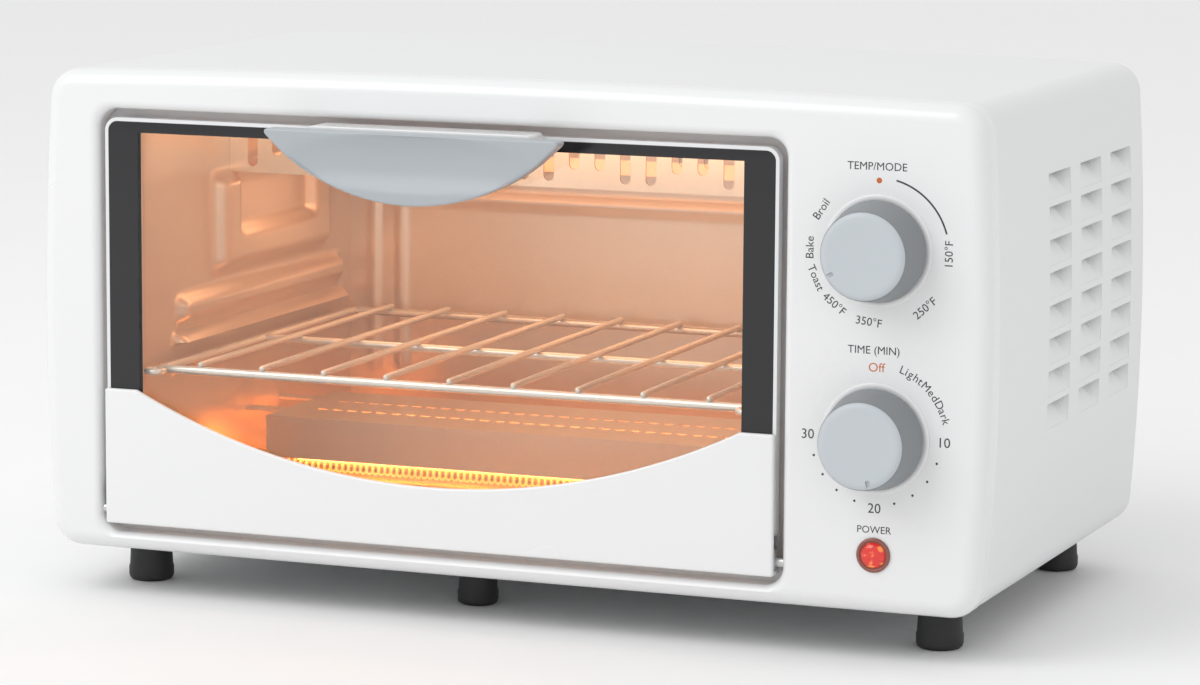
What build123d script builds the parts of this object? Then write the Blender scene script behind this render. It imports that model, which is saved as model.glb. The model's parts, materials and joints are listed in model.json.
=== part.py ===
"""Countertop toaster oven with a drop-down glass door, two dials and a wire rack.

Millimetres, +Z up, the front faces -Y. The origin is on the surface that the oven stands on,
under the middle of its overall box. Depths named *_y are measured back from the fascia's
front face and placed by at().
"""

from build123d import *
from math import cos, radians, sin
import os

# ---- driving dimensions: body -------------------------------------------------------------
body_width = 365.0  # across the bulged sides at the fascia
body_depth = 208.0  # fascia face to the rear of the case
body_height = 180.5  # underside of the case to the top of its crown
foot_height = 17.5
side_bow = 3.6  # how far each side bulges between its corners
top_crown = 2.4  # how far the top rises towards the middle
rear_flare = 2.0  # how much further out each side is at the rear
corner_radius = 10.0  # body corners seen from the front
rear_round = 2.0  # folded rear edge of the case
sheet = 1.0  # steel sheet of case, base, back and cavity
joint_gap = 0.05  # between pieces that are screwed or welded face to face

# ---- fascia and door recess ---------------------------------------------------------------
fascia_depth = 13.0
fascia_wall = 2.4
fascia_round = 6.5
recess_left = -body_width / 2 + 24.3
recess_right = body_width / 2 - 74.1  # leaves room for the dials
recess_top = foot_height + body_height - 16.0
recess_bottom = foot_height + 6.9
recess_corner = 7.0
recess_depth = 9.6  # down to the flange that frames the cavity mouth
mouth_top = recess_top - 6.0  # low enough that the door's top edge covers it
mouth_bottom = recess_bottom + 5.6
seam_gap = 0.5  # between the fascia and the case

# ---- cavity -------------------------------------------------------------------------------
cavity_left = recess_left + 12.2
cavity_right = recess_right - 10.4
cavity_roof_z = recess_top + 2.0
cavity_back_y = body_depth - 11.0
rib_reach = 6.5  # how far the rack ledges stand into the cavity
ledge_front_y = 37.0
ledge_end_gap = 10.0  # between the ledges and the rear wall
rack_z = foot_height + 67.0
rack_slack = 0.4
upper_rib_z = rack_z + 21.5
rear_rib_z = rack_z + 47.5

# ---- door ---------------------------------------------------------------------------------
door_gap = 2.6  # between the door and the sides of its recess
door_top = recess_top - 3.2
door_bottom = recess_bottom + 3.6
door_corner = 5.0
glass_front_y = 1.05
glass_thickness = 4.0
glass_bottom = door_bottom + 12.0
trim_wall = 1.3
panel_front_y = -1.5
panel_top = door_bottom + 50.5
panel_dip = 28.0  # how far the window's round lower edge dips into the panel
panel_shoulder = 12.8  # flat top of the panel beside the window
panel_lip = 2.0  # thickness of the lip under the hinge bar
hinge_y = 4.0
hinge_z = door_bottom + 4.6
hinge_pin_radius = 2.0
hinge_engagement = 10.0
running_fit = 0.05  # radial clearance of pins and shafts
hinge_bar_top = door_bottom + 9.5
glass_lap = 8.0  # how far the hinge bar's flange reaches up behind the glass

# ---- handle -------------------------------------------------------------------------------
handle_width = 125.0
handle_drop = 25.5
handle_reach = 20.0  # in front of the fascia's face
handle_thickness = 7.0
handle_top = door_top + 0.8
handle_tab_width = 86.0
handle_tab_drop = 9.5
handle_screw_offset = 30.0
handle_corner = 2.5
handle_edge = 1.5
dish_radius = 150.0
dish_depth = 2.2

# ---- dials and lamp -----------------------------------------------------------------------
dial_x = body_width / 2 - 40.2
timer_z = foot_height + 62.0
temp_z = timer_z + 65.3
lamp_z = foot_height + 21.1
knob_base_radius = 17.8
knob_face_radius = 15.3
knob_reach = 18.6
knob_clearance = 0.8  # between the knob's skirt and the fascia
collar_radius = 19.6
collar_height = 0.6
shaft_radius = 3.0
shaft_flat = 0.8
temp_rest_turn = 239.0  # pointer, clockwise from the top
timer_rest_turn = 165.0
lamp_radius = 4.7
lamp_reach = 2.2
neon_radius = 2.6
knob_bore_depth = 12.0
shaft_clearance = 1.5  # around the shaft where it passes through the fascia
bracket_y = 20.0

# ---- heaters and guards -------------------------------------------------------------------
heater_rows_y = {"front": 100.0, "rear": 136.0}
tube_radius = 5.0
tube_wall = 1.0
heater_levels_z = {
    "upper": cavity_roof_z - tube_radius - 11.0,
    "lower": foot_height + tube_radius + 13.5,
}
coil_radius = 2.2
cap_radius = tube_radius + 2.5
cap_length = 11.0
guard_sheet = 0.8
guard_front_y = 86.0
guard_rear_y = 150.0
upper_guard_bottom = cavity_roof_z - 33.0
lower_guard_top = foot_height + 39.5
lower_guard_bottom = lower_guard_top - 16.0
lower_guard_inset = 15.0  # between the lower guard and each side wall
slot_pitch = 10.2
slot_width = 4.2
hole_pitch = 6.2

# ---- rack ---------------------------------------------------------------------------------
rail_radius = 1.6
wire_radius = 1.2
wire_pitch = 25.0
rack_side_gap = 5.0  # between the rack's side rails and the cavity walls
rack_wire_margin = 16.0  # between each side rail and the nearest wire
rack_front_y = 16.5
rack_rear_gap = 8.5
hook_radius = 3.0

# ---- crumb tray ---------------------------------------------------------------------------
tray_wall = 0.8
tray_height = 8.0
tray_side_gap = 5.0
tray_front_y = 18.0
runner_sheet = 1.2
tray_lift = 0.3

# ---- feet, screws, gland, louvres -----------------------------------------------------------
foot_radius = 8.5
foot_bore_depth = 8.0  # the screw head sits this far up from the floor
foot_edge = 1.6
foot_inset_x = 26.5  # foot centre to the side of the body
foot_front_y = 36.0
foot_rear_y = body_depth - 18.0
centre_foot_radius = 7.6
screw_radius = 1.5
screw_head_radius = 3.2
screw_head_height = 2.0
screw_slack = 0.1  # around a screw in its hole
foot_screw_slack = 0.5
lip_width = 14.0  # case lip around the back panel
back_side_margin = 4.5  # back panel inside the body at each side, clear of the rounded edge
back_top_margin = 5.0
gland_x = dial_x + 7.7
gland_z = foot_height + 30.5
gland_radius = 9.0
gland_bore = 3.6
gland_reach = 3.0
louvre_length = 28.0
louvre_height = 3.2
louvre_rows = 8
louvre_row_pitch = 11.84
louvre_top_z = foot_height + 148.2
louvre_columns = 3
louvre_column_pitch = 41.2
louvre_rear_y = body_depth - 36.6  # middle of the rearmost column

# ---- derived ------------------------------------------------------------------------------
face_y = -(body_depth + gland_reach - handle_reach) / 2
body_bottom = foot_height
body_top = body_bottom + body_height
cavity_middle = (cavity_left + cavity_right) / 2
cavity_width = cavity_right - cavity_left
door_left = recess_left + door_gap
door_right = recess_right - door_gap
door_middle = (door_left + door_right) / 2
door_width = door_right - door_left
base_z = body_bottom + sheet + joint_gap
base_top = base_z + sheet
foot_x = body_width / 2 - foot_inset_x
back_panel_y = body_depth - sheet - joint_gap
tray_bottom = base_top + joint_gap + runner_sheet + tray_lift
tray_left = cavity_left + tray_side_gap
tray_right = cavity_right - tray_side_gap
tray_rear_y = body_depth - sheet
wire_count = int((cavity_width - 2 * (rack_side_gap + rack_wire_margin)) // wire_pitch) + 1
rack_left = cavity_middle - wire_pitch * (wire_count - 1) / 2 - rack_wire_margin
rack_right = cavity_middle + wire_pitch * (wire_count - 1) / 2 + rack_wire_margin
rack_length = cavity_back_y - rack_rear_gap - rack_front_y
rack_rear_y = rack_front_y + rack_length
louvre_columns_y = [louvre_rear_y - louvre_column_pitch * step for step in range(louvre_columns)]
wire_z = rack_z + rail_radius + wire_radius - 0.4
box_low = -10.0  # safely below the body, for open-bottomed cuts

part_count = 0


def at(depth):
    """Model Y of a depth measured back from the fascia's front face."""
    return face_y + depth


def facing(depth):
    """Upright plane at a depth, looking out of the oven's front, X right and Z up."""
    return Plane.XZ.offset(-at(depth))


def sideways(x):
    """Upright plane across the oven at x, looking to +X, with Y and Z as its axes."""
    return Plane.YZ.offset(x)


def body_outline(depth, inset):
    """Outline of the body seen from the front: bulged sides and a crowned top."""
    half = body_width / 2 + rear_flare * depth / body_depth - inset
    low = body_bottom + inset
    high = body_top - inset
    corner_half = half - side_bow
    shoulder = high - top_crown
    middle = (low + shoulder) / 2
    with BuildSketch(facing(depth)) as outline:
        with BuildLine():
            ThreePointArc((corner_half, low), (half, middle), (corner_half, shoulder))
            ThreePointArc((corner_half, shoulder), (0, high), (-corner_half, shoulder))
            ThreePointArc((-corner_half, shoulder), (-half, middle), (-corner_half, low))
            Line((-corner_half, low), (corner_half, low))
        make_face()
        fillet(outline.vertices(), corner_radius - inset)
    return outline.sketch


def recess_outline(depth, grow):
    """Rounded rectangle of the door recess, grown outwards on all sides."""
    width = recess_right - recess_left + 2 * grow
    height = recess_top - recess_bottom + 2 * grow
    with BuildSketch(facing(depth)) as outline:
        with Locations(((recess_left + recess_right) / 2, (recess_top + recess_bottom) / 2)):
            RectangleRounded(width, height, recess_corner + grow)
    return outline.sketch


def keep(piece, name):
    """Label a finished piece and write it to its own file."""
    global part_count
    piece.part.label = name
    export_step(piece.part, f"parts/{name}.step")
    part_count += 1


# ---- fascia -------------------------------------------------------------------------------
def make_fascia():
    """Moulded front with the door recess, the cavity mouth and the dial holes."""
    pocket_depth = fascia_depth - fascia_wall
    heights = (body_top - 20, body_bottom + 10.5)
    bosses = [(dial_x + offset, height) for height in heights for offset in (-24, 30)]
    with BuildPart() as fascia:
        extrude(body_outline(fascia_depth, 0), amount=fascia_depth)
        fillet(fascia.faces().sort_by(Axis.Y)[0].edges(), fascia_round)
        extrude(body_outline(fascia_depth, fascia_wall), amount=pocket_depth, mode=Mode.SUBTRACT)
        extrude(recess_outline(recess_depth + fascia_wall, fascia_wall), amount=recess_depth)
        with BuildSketch(facing(bracket_y - joint_gap)):
            with Locations(*bosses):
                Circle(4.0)
                Circle(screw_radius + screw_slack, mode=Mode.SUBTRACT)
        extrude(amount=bracket_y - joint_gap - fascia_wall)
        extrude(recess_outline(recess_depth, 0), amount=recess_depth + 1, mode=Mode.SUBTRACT)
        with BuildSketch(facing(fascia_depth)):
            with Locations((cavity_middle, (mouth_top + mouth_bottom) / 2)):
                RectangleRounded(cavity_width, mouth_top - mouth_bottom, 4.0)
        extrude(amount=fascia_depth, mode=Mode.SUBTRACT)
        with BuildSketch(facing(fascia_depth)):
            with Locations((dial_x, temp_z), (dial_x, timer_z)):
                Circle(shaft_radius + shaft_clearance)
            with Locations((dial_x, lamp_z)):
                Circle(lamp_radius + running_fit)
        extrude(amount=fascia_depth + 1, mode=Mode.SUBTRACT)
        with BuildSketch(sideways(recess_left - fascia_wall - 1)):
            with Locations((at(hinge_y), hinge_z)):
                Circle(hinge_pin_radius + running_fit)
        extrude(amount=recess_right - recess_left + 2 * fascia_wall + 2, mode=Mode.SUBTRACT)
    keep(fascia, "front_fascia")
    return bosses


# ---- case, base and back ------------------------------------------------------------------
def make_case():
    """Sheet wrap over the top and both sides, louvred, with a lip around the back panel."""
    front_depth = fascia_depth + seam_gap
    side_x = body_width / 2
    lip_x = side_x + rear_flare - lip_width
    with BuildPart() as case:
        loft(sections=[body_outline(front_depth, 0.3), body_outline(body_depth, 0)])
        fillet(case.faces().sort_by(Axis.Y)[-1].edges(), rear_round)
        with BuildPart(mode=Mode.SUBTRACT) as hollow:
            loft(
                sections=[
                    body_outline(front_depth - 1, 0.3 + sheet),
                    body_outline(body_depth - sheet, sheet),
                ]
            )
            fillet(hollow.faces().sort_by(Axis.Y)[-1].edges(), rear_round - sheet)
        with BuildSketch(facing(body_depth + 1)):
            with Locations((0, (box_low + body_top - lip_width) / 2)):
                Rectangle(2 * lip_x, body_top - lip_width - box_low)
        extrude(amount=body_depth, mode=Mode.SUBTRACT)
        rows = [louvre_top_z - louvre_height / 2 - row * louvre_row_pitch for row in range(louvre_rows)]
        with BuildSketch(sideways(-side_x - 10)):
            with Locations(*[(at(column), row) for column in louvre_columns_y for row in rows]):
                Rectangle(louvre_length, louvre_height)
        extrude(amount=2 * side_x + 20, mode=Mode.SUBTRACT)
        with BuildSketch(facing(body_depth + 1)):
            with Locations(*back_screw_places()):
                Circle(screw_radius + screw_slack)
        extrude(amount=8, mode=Mode.SUBTRACT)
    keep(case, "outer_case")


def back_screw_places():
    """Screws through the case's lip, seen from the front."""
    inset = lip_width - 4.5
    side = body_width / 2 + rear_flare - inset
    top = body_top - inset
    low = body_bottom + 44.5
    high = body_top - 50
    return [(-side, low), (-side, high), (side, low), (side, high), (-90, top), (90, top)]


def make_base():
    """Floor pan between the case's bottom flanges, with cooling slots and foot holes."""
    width = body_width - 2 * (side_bow + corner_radius)
    depth = body_depth - fascia_depth - seam_gap - 2 * sheet - 1
    with BuildPart() as base:
        with BuildSketch(Plane.XY.offset(base_z)):
            with Locations((0, at(fascia_depth + seam_gap + depth / 2))):
                Rectangle(width, depth)
            with Locations(*[(x, at(y)) for x, y, radius in feet_places()]):
                Circle(screw_radius + foot_screw_slack, mode=Mode.SUBTRACT)
            with Locations((dial_x, at(body_depth - 78))):
                with GridLocations(0, 12, 1, 6):
                    SlotOverall(36, 4, mode=Mode.SUBTRACT)
        extrude(amount=sheet)
    keep(base, "base_plate")


def make_back():
    """Flat rear panel inside the case's lip, open at the bottom for the crumb tray."""
    width = body_width - 2 * back_side_margin
    low = base_top + joint_gap
    high = body_top - back_top_margin
    slot_left = tray_left - 1
    slot_right = tray_right + 1
    slot_top = tray_bottom + tray_height + 1.5
    with BuildPart() as back:
        with BuildSketch(facing(back_panel_y)):
            with Locations((0, (low + high) / 2)):
                RectangleRounded(width, high - low, 4)
            with Locations(((slot_left + slot_right) / 2, (low + slot_top) / 2 - 2)):
                Rectangle(slot_right - slot_left, slot_top - low + 4, mode=Mode.SUBTRACT)
            with Locations(*back_screw_places()):
                Circle(screw_radius + screw_slack, mode=Mode.SUBTRACT)
            with Locations((gland_x, gland_z)):
                Circle(gland_radius - 2, mode=Mode.SUBTRACT)
            with Locations((dial_x, (body_bottom + body_top) / 2 + 12)):
                with GridLocations(0, louvre_row_pitch, 1, 6):
                    SlotOverall(44, 4, mode=Mode.SUBTRACT)
        extrude(amount=sheet)
    keep(back, "back_panel")


# ---- cavity -------------------------------------------------------------------------------
def heater_places():
    """Depth and height of every heater by name."""
    return {
        f"{level}_{row}": (depth, height)
        for level, height in heater_levels_z.items()
        for row, depth in heater_rows_y.items()
    }


def make_side_wall(name, inner_x, inward):
    """Cavity side with heater holes and pressed ledges that carry the rack."""
    front = fascia_depth
    back = cavity_back_y
    outer_x = inner_x - inward * sheet
    low = base_top + joint_gap
    ledge_bottom = rack_z - rail_radius - rack_slack
    ledge_length = back - ledge_end_gap - ledge_front_y
    ledge_middle = ledge_front_y + ledge_length / 2
    ledges = [(ledge_bottom - 2.5, 2.5), (wire_z + wire_radius + rack_slack + 1.0, 2.5), (upper_rib_z, 4.0)]
    with BuildPart() as wall:
        with BuildSketch(sideways(min(inner_x, outer_x))):
            with Locations((at((front + back) / 2), (low + cavity_roof_z) / 2)):
                Rectangle(back - front, cavity_roof_z - low)
            with Locations(*[(at(depth), height) for depth, height in heater_places().values()]):
                Circle(tube_radius + 0.4, mode=Mode.SUBTRACT)
        extrude(amount=sheet)
        with BuildSketch(Plane.YZ.offset(inner_x)):
            for height, thickness in ledges:
                with Locations((at(ledge_middle), height + thickness / 2)):
                    SlotOverall(ledge_length, thickness)
        extrude(amount=inward * rib_reach)
    keep(wall, name)


def make_roof_and_rear():
    """Roof sheet and rear sheet of the cavity, the rear one open below for the tray."""
    with BuildPart() as roof:
        with BuildSketch(Plane.XY.offset(cavity_roof_z)):
            with Locations((cavity_middle, at((fascia_depth + cavity_back_y) / 2))):
                Rectangle(cavity_width + 2 * sheet, cavity_back_y - fascia_depth)
        extrude(amount=sheet)
    keep(roof, "cavity_roof")
    low = tray_bottom + tray_height + 2
    high = cavity_roof_z + sheet
    with BuildPart() as rear:
        with BuildSketch(facing(cavity_back_y + sheet)):
            with Locations((cavity_middle, (low + high) / 2)):
                Rectangle(cavity_width + 2 * sheet, high - low)
        extrude(amount=sheet)
        with BuildSketch(facing(cavity_back_y)):
            with Locations((cavity_middle, rear_rib_z)):
                SlotOverall(cavity_width - 24, 3)
        extrude(amount=1.2)
    keep(rear, "cavity_back_wall")


# ---- guards -------------------------------------------------------------------------------
def make_upper_guard():
    """Slotted shield that hangs from the roof in front of and behind the upper heaters."""
    width = cavity_width - 2 * joint_gap
    top = cavity_roof_z - joint_gap
    slots = int((width / 2 - 6) // slot_pitch)
    with BuildPart() as guard:
        with BuildSketch(sideways(cavity_middle - width / 2)):
            with BuildLine():
                Polyline(
                    (at(guard_front_y), upper_guard_bottom),
                    (at(guard_front_y), top),
                    (at(guard_rear_y), top),
                    (at(guard_rear_y), upper_guard_bottom),
                    (at(guard_rear_y) - guard_sheet, upper_guard_bottom),
                    (at(guard_rear_y) - guard_sheet, top - guard_sheet),
                    (at(guard_front_y) + guard_sheet, top - guard_sheet),
                    (at(guard_front_y) + guard_sheet, upper_guard_bottom),
                    close=True,
                )
            make_face()
        extrude(amount=width)
        with BuildSketch(facing(guard_rear_y + 1)):
            for step in range(-slots, slots + 1):
                foot = 2.4 if step % 4 < 2 else 7.0
                low = upper_guard_bottom + foot
                high = top - 4
                with Locations((cavity_middle + step * slot_pitch, (low + high) / 2)):
                    SlotOverall(high - low, slot_width, rotation=90)
        extrude(amount=guard_rear_y - guard_front_y + 2, mode=Mode.SUBTRACT)
    keep(guard, "upper_heater_guard")


def make_lower_guard():
    """Perforated cover over the lower heaters, its front edge folded down."""
    width = cavity_width - 2 * lower_guard_inset
    depth = guard_rear_y - guard_front_y
    holes = int((width - 16) // hole_pitch)
    with BuildPart() as guard:
        with BuildSketch(sideways(cavity_middle - width / 2)):
            with BuildLine():
                Polyline(
                    (at(guard_front_y), lower_guard_bottom),
                    (at(guard_front_y), lower_guard_top),
                    (at(guard_rear_y), lower_guard_top),
                    (at(guard_rear_y), lower_guard_bottom),
                    (at(guard_rear_y) - guard_sheet, lower_guard_bottom),
                    (at(guard_rear_y) - guard_sheet, lower_guard_top - guard_sheet),
                    (at(guard_front_y) + guard_sheet, lower_guard_top - guard_sheet),
                    (at(guard_front_y) + guard_sheet, lower_guard_bottom),
                    close=True,
                )
            make_face()
        extrude(amount=width)
        with BuildSketch(Plane.XY.offset(lower_guard_top - guard_sheet)):
            with Locations((cavity_middle, at(guard_front_y + depth / 2))):
                with GridLocations(cavity_width - 24, 30, 2, 2):
                    Rectangle(24 - 2 * joint_gap, 8)
        extrude(amount=guard_sheet)
        with BuildSketch(Plane.XY.offset(lower_guard_top - 2)):
            with Locations((cavity_middle, at(guard_front_y + depth / 2))):
                with GridLocations(hole_pitch, 20, holes, 2):
                    SlotOverall(4.4, 2.6)
        extrude(amount=4, mode=Mode.SUBTRACT)
    keep(guard, "lower_heater_guard")


# ---- heaters ------------------------------------------------------------------------------
def make_heaters():
    """Four quartz tubes with their coils, held by ceramic caps outside the side walls."""
    cap_in_left = cavity_left - sheet - joint_gap
    cap_in_right = cavity_right + sheet + joint_gap
    tube_left = cap_in_left - cap_length + 2
    tube_right = cap_in_right + cap_length - 2
    coil_left = cap_in_left - cap_length
    coil_right = cap_in_right + cap_length
    for name, (depth, height) in heater_places().items():
        with BuildPart() as tube:
            with BuildSketch(sideways(tube_left)):
                with Locations((at(depth), height)):
                    Circle(tube_radius)
                    Circle(tube_radius - tube_wall, mode=Mode.SUBTRACT)
            extrude(amount=tube_right - tube_left)
        keep(tube, f"{name}_quartz_tube")
        with BuildPart() as coil:
            with BuildSketch(sideways(coil_left)):
                with Locations((at(depth), height)):
                    Circle(coil_radius)
            extrude(amount=coil_right - coil_left)
        keep(coil, f"{name}_heating_coil")
    with BuildPart() as caps:
        for start, socket in ((coil_left, tube_left), (cap_in_right, cap_in_right - 1)):
            with BuildSketch(sideways(start)):
                with Locations(*[(at(depth), height) for depth, height in heater_places().values()]):
                    Circle(cap_radius)
                    Circle(coil_radius + running_fit, mode=Mode.SUBTRACT)
            extrude(amount=cap_length)
            with BuildSketch(sideways(socket)):
                with Locations(*[(at(depth), height) for depth, height in heater_places().values()]):
                    Circle(tube_radius + running_fit)
            extrude(amount=cap_length - 1, mode=Mode.SUBTRACT)
    keep(caps, "ceramic_end_caps")


# ---- rack ---------------------------------------------------------------------------------
def make_rack():
    """Welded wire shelf: two rails across, two at the sides and the long wires on top."""
    middle = (rack_left + rack_right) / 2
    width = rack_right - rack_left
    centre_y = rack_front_y + rack_length / 2
    with BuildPart() as rack:
        with Locations((rack_left, at(centre_y), rack_z), (rack_right, at(centre_y), rack_z)):
            Cylinder(rail_radius, rack_length, rotation=(90, 0, 0))
        with Locations(*[(middle, at(y), rack_z) for y in (rack_front_y, centre_y, rack_rear_y)]):
            Cylinder(rail_radius, width, rotation=(0, 90, 0))
        corners = [(x, at(y), rack_z) for x in (rack_left, rack_right) for y in (rack_front_y, rack_rear_y)]
        with Locations(*corners):
            Sphere(rail_radius)
        with Locations((cavity_middle, at(centre_y), wire_z)):
            with GridLocations(wire_pitch, 0, wire_count, 1):
                Cylinder(wire_radius, rack_length + 1.0, rotation=(90, 0, 0))
    keep(rack, "wire_rack")
    with BuildPart() as hooks:
        reach = rail_radius + hook_radius + wire_radius + 0.1
        for x in (rack_left, rack_right):
            with Locations((x, at(rack_front_y) - reach, rack_z)):
                Torus(hook_radius, wire_radius)
    keep(hooks, "rack_pull_loops")


# ---- crumb tray ---------------------------------------------------------------------------
def make_tray():
    """Shallow pan that slides out at the back on two runners."""
    width = tray_right - tray_left
    length = tray_rear_y - tray_front_y
    middle = (tray_left + tray_right) / 2
    with BuildPart() as tray:
        with BuildSketch(Plane.XY.offset(tray_bottom)):
            with Locations((middle, at(tray_front_y + length / 2))):
                Rectangle(width, length)
        extrude(amount=tray_height)
        with BuildSketch(Plane.XY.offset(tray_bottom + tray_wall)):
            with Locations((middle, at(tray_front_y + length / 2))):
                Rectangle(width - 2 * tray_wall, length - 2 * tray_wall)
        extrude(amount=tray_height, mode=Mode.SUBTRACT)
        with BuildSketch(facing(body_depth + 1.0)):
            with Locations((middle, tray_bottom + tray_height / 2 + 1.5)):
                RectangleRounded(120, tray_height + 3, 2)
                with Locations((0, 1)):
                    SlotOverall(46, 5, mode=Mode.SUBTRACT)
        extrude(amount=2.0)
    keep(tray, "crumb_tray")
    runner_length = cavity_back_y - tray_front_y
    for name, x in (("left", tray_left - 1), ("right", tray_right + 1)):
        inward = 1 if name == "left" else -1
        with BuildPart() as runner:
            with BuildSketch(facing(tray_front_y)):
                with BuildLine():
                    Polyline(
                        (x, base_top + joint_gap),
                        (x + inward * 9, base_top + joint_gap),
                        (x + inward * 9, base_top + joint_gap + runner_sheet),
                        (x + inward * 0.6, base_top + joint_gap + runner_sheet),
                        (x + inward * 0.6, tray_bottom + tray_height + 1),
                        (x - inward * 0.6, tray_bottom + tray_height + 1),
                        (x - inward * 0.6, base_top + joint_gap),
                        close=True,
                    )
                make_face()
            extrude(amount=-runner_length)
        keep(runner, f"tray_runner_{name}")


# ---- door ---------------------------------------------------------------------------------
def handle_screw_places():
    """Two screws that hold the handle's tab through the glass."""
    height = handle_top - handle_tab_drop + 4.2
    return [(door_middle - handle_screw_offset, height), (door_middle + handle_screw_offset, height)]


def panel_screw_places():
    """Three screws that hold the hinge bar to the lower panel."""
    height = (door_bottom + panel_lip + hinge_bar_top) / 2
    return [(door_middle + side * door_width * 0.38, height) for side in (-1, 0, 1)]


def window_arc():
    """Lower edge of the clear window: a shallow arc that dips into the white panel."""
    left = door_left + panel_shoulder
    right = door_right - panel_shoulder
    return ThreePointArc((left, panel_top), (door_middle, panel_top - panel_dip), (right, panel_top))


def make_door():
    """Glass, edge trim, lower panel and the hinge bar behind the panel."""
    glass_y = glass_front_y + glass_thickness
    with BuildPart() as glass:
        with BuildSketch(facing(glass_y)) as pane:
            with Locations((door_middle, (glass_bottom + door_top - trim_wall) / 2)):
                Rectangle(door_width - 2 * trim_wall - 0.1, door_top - trim_wall - glass_bottom)
            fillet(pane.vertices().group_by(Axis.Z)[-1], door_corner - trim_wall)
            with Locations(*handle_screw_places()):
                Circle(screw_radius + 0.4, mode=Mode.SUBTRACT)
        extrude(amount=glass_thickness)
    keep(glass, "door_glass")

    with BuildPart() as trim:
        with BuildSketch(facing(glass_y)) as frame:
            with Locations((door_middle, (glass_bottom + door_top) / 2)):
                Rectangle(door_width, door_top - glass_bottom)
            fillet(frame.vertices().group_by(Axis.Z)[-1], door_corner)
            with BuildSketch(facing(glass_y), mode=Mode.SUBTRACT) as hollow:
                with Locations((door_middle, (glass_bottom + door_top - trim_wall) / 2 - 1)):
                    Rectangle(door_width - 2 * trim_wall, door_top - trim_wall - glass_bottom + 2)
                fillet(hollow.vertices().group_by(Axis.Z)[-1], door_corner - trim_wall)
        extrude(amount=glass_thickness)
    keep(trim, "door_edge_trim")

    panel_back_y = glass_front_y - joint_gap
    lip_y = hinge_y + 3.0
    with BuildPart() as panel:
        with BuildSketch(facing(panel_back_y)) as face:
            with BuildLine():
                arc = window_arc()
                Line(arc @ 1, (door_right, panel_top))
                Line((door_right, panel_top), (door_right, door_bottom))
                Line((door_right, door_bottom), (door_left, door_bottom))
                Line((door_left, door_bottom), (door_left, panel_top))
                Line((door_left, panel_top), arc @ 0)
            make_face()
        extrude(amount=panel_back_y - panel_front_y)
        with BuildSketch(facing(lip_y)):
            with Locations((door_middle, door_bottom + panel_lip / 2)):
                Rectangle(door_width, panel_lip)
        extrude(amount=lip_y - panel_front_y)
        with BuildSketch(facing(panel_back_y)):
            with Locations(*panel_screw_places()):
                Circle(screw_radius)
        extrude(amount=1.4, mode=Mode.SUBTRACT)
        lower_edges = panel.edges().filter_by(Axis.X).group_by(Axis.Z)[0].sort_by(Axis.Y)
        fillet(lower_edges[0], 2.4)
        fillet(panel.edges().filter_by(Axis.X).group_by(Axis.Z)[0].sort_by(Axis.Y)[-1], 1.2)
    keep(panel, "door_lower_panel")

    bar_low = door_bottom + panel_lip + joint_gap
    with BuildPart() as bar:
        with BuildSketch(sideways(door_left)):
            with BuildLine():
                Polyline(
                    (at(panel_back_y + joint_gap), bar_low),
                    (at(hinge_y + 3.4), bar_low),
                    (at(hinge_y + 3.4), glass_bottom + glass_lap),
                    (at(glass_y + joint_gap), glass_bottom + glass_lap),
                    (at(glass_y + joint_gap), hinge_bar_top),
                    (at(panel_back_y + joint_gap), hinge_bar_top),
                    close=True,
                )
            make_face()
        extrude(amount=door_width)
        for end in (door_left, door_right - hinge_engagement):
            with BuildSketch(sideways(end)):
                with Locations((at(hinge_y), hinge_z)):
                    Circle(hinge_pin_radius + running_fit)
            extrude(amount=hinge_engagement, mode=Mode.SUBTRACT)
        with BuildSketch(facing(hinge_y + 4)):
            with Locations(*panel_screw_places()):
                Circle(screw_radius + screw_slack)
        extrude(amount=8, mode=Mode.SUBTRACT)
    keep(bar, "door_hinge_bar")

    pins = {
        "left": recess_left - fascia_wall,
        "right": door_right - hinge_engagement + 1,
    }
    pin_length = door_gap + fascia_wall + hinge_engagement - 1
    for name, start in pins.items():
        with BuildPart() as pin:
            with BuildSketch(sideways(start)):
                with Locations((at(hinge_y), hinge_z)):
                    Circle(hinge_pin_radius)
            extrude(amount=pin_length)
        keep(pin, f"hinge_pin_{name}")


def make_handle():
    """Half-moon grip with a dished face, held by a tab along its top edge."""
    front = -handle_reach
    back = front + handle_thickness
    left = door_middle - handle_width / 2
    right = door_middle + handle_width / 2
    with BuildPart() as grip:
        with BuildSketch(facing(back)) as moon:
            with BuildLine():
                lowest = (door_middle, handle_top - handle_drop)
                ThreePointArc((left, handle_top), lowest, (right, handle_top))
                Line((right, handle_top), (left, handle_top))
            make_face()
            fillet(moon.vertices(), handle_corner)
        extrude(amount=handle_thickness)
        fillet(grip.faces().sort_by(Axis.Y)[0].edges(), handle_edge)
        dish_z = handle_top - handle_drop / 2 + 1
        with Locations((door_middle, at(front) - dish_radius + dish_depth, dish_z)):
            Sphere(dish_radius, mode=Mode.SUBTRACT)
    keep(grip, "door_handle")

    tab_back = glass_front_y - joint_gap
    with BuildPart() as tab:
        with BuildSketch(facing(tab_back)):
            with Locations((door_middle, handle_top + 0.8 - handle_tab_drop / 2)):
                RectangleRounded(handle_tab_width, handle_tab_drop, 2.0)
        extrude(amount=tab_back - back - joint_gap)
        with BuildSketch(facing(tab_back)):
            with Locations(*handle_screw_places()):
                Circle(screw_radius)
        extrude(amount=8.5, mode=Mode.SUBTRACT)
    keep(tab, "handle_tab")


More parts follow.
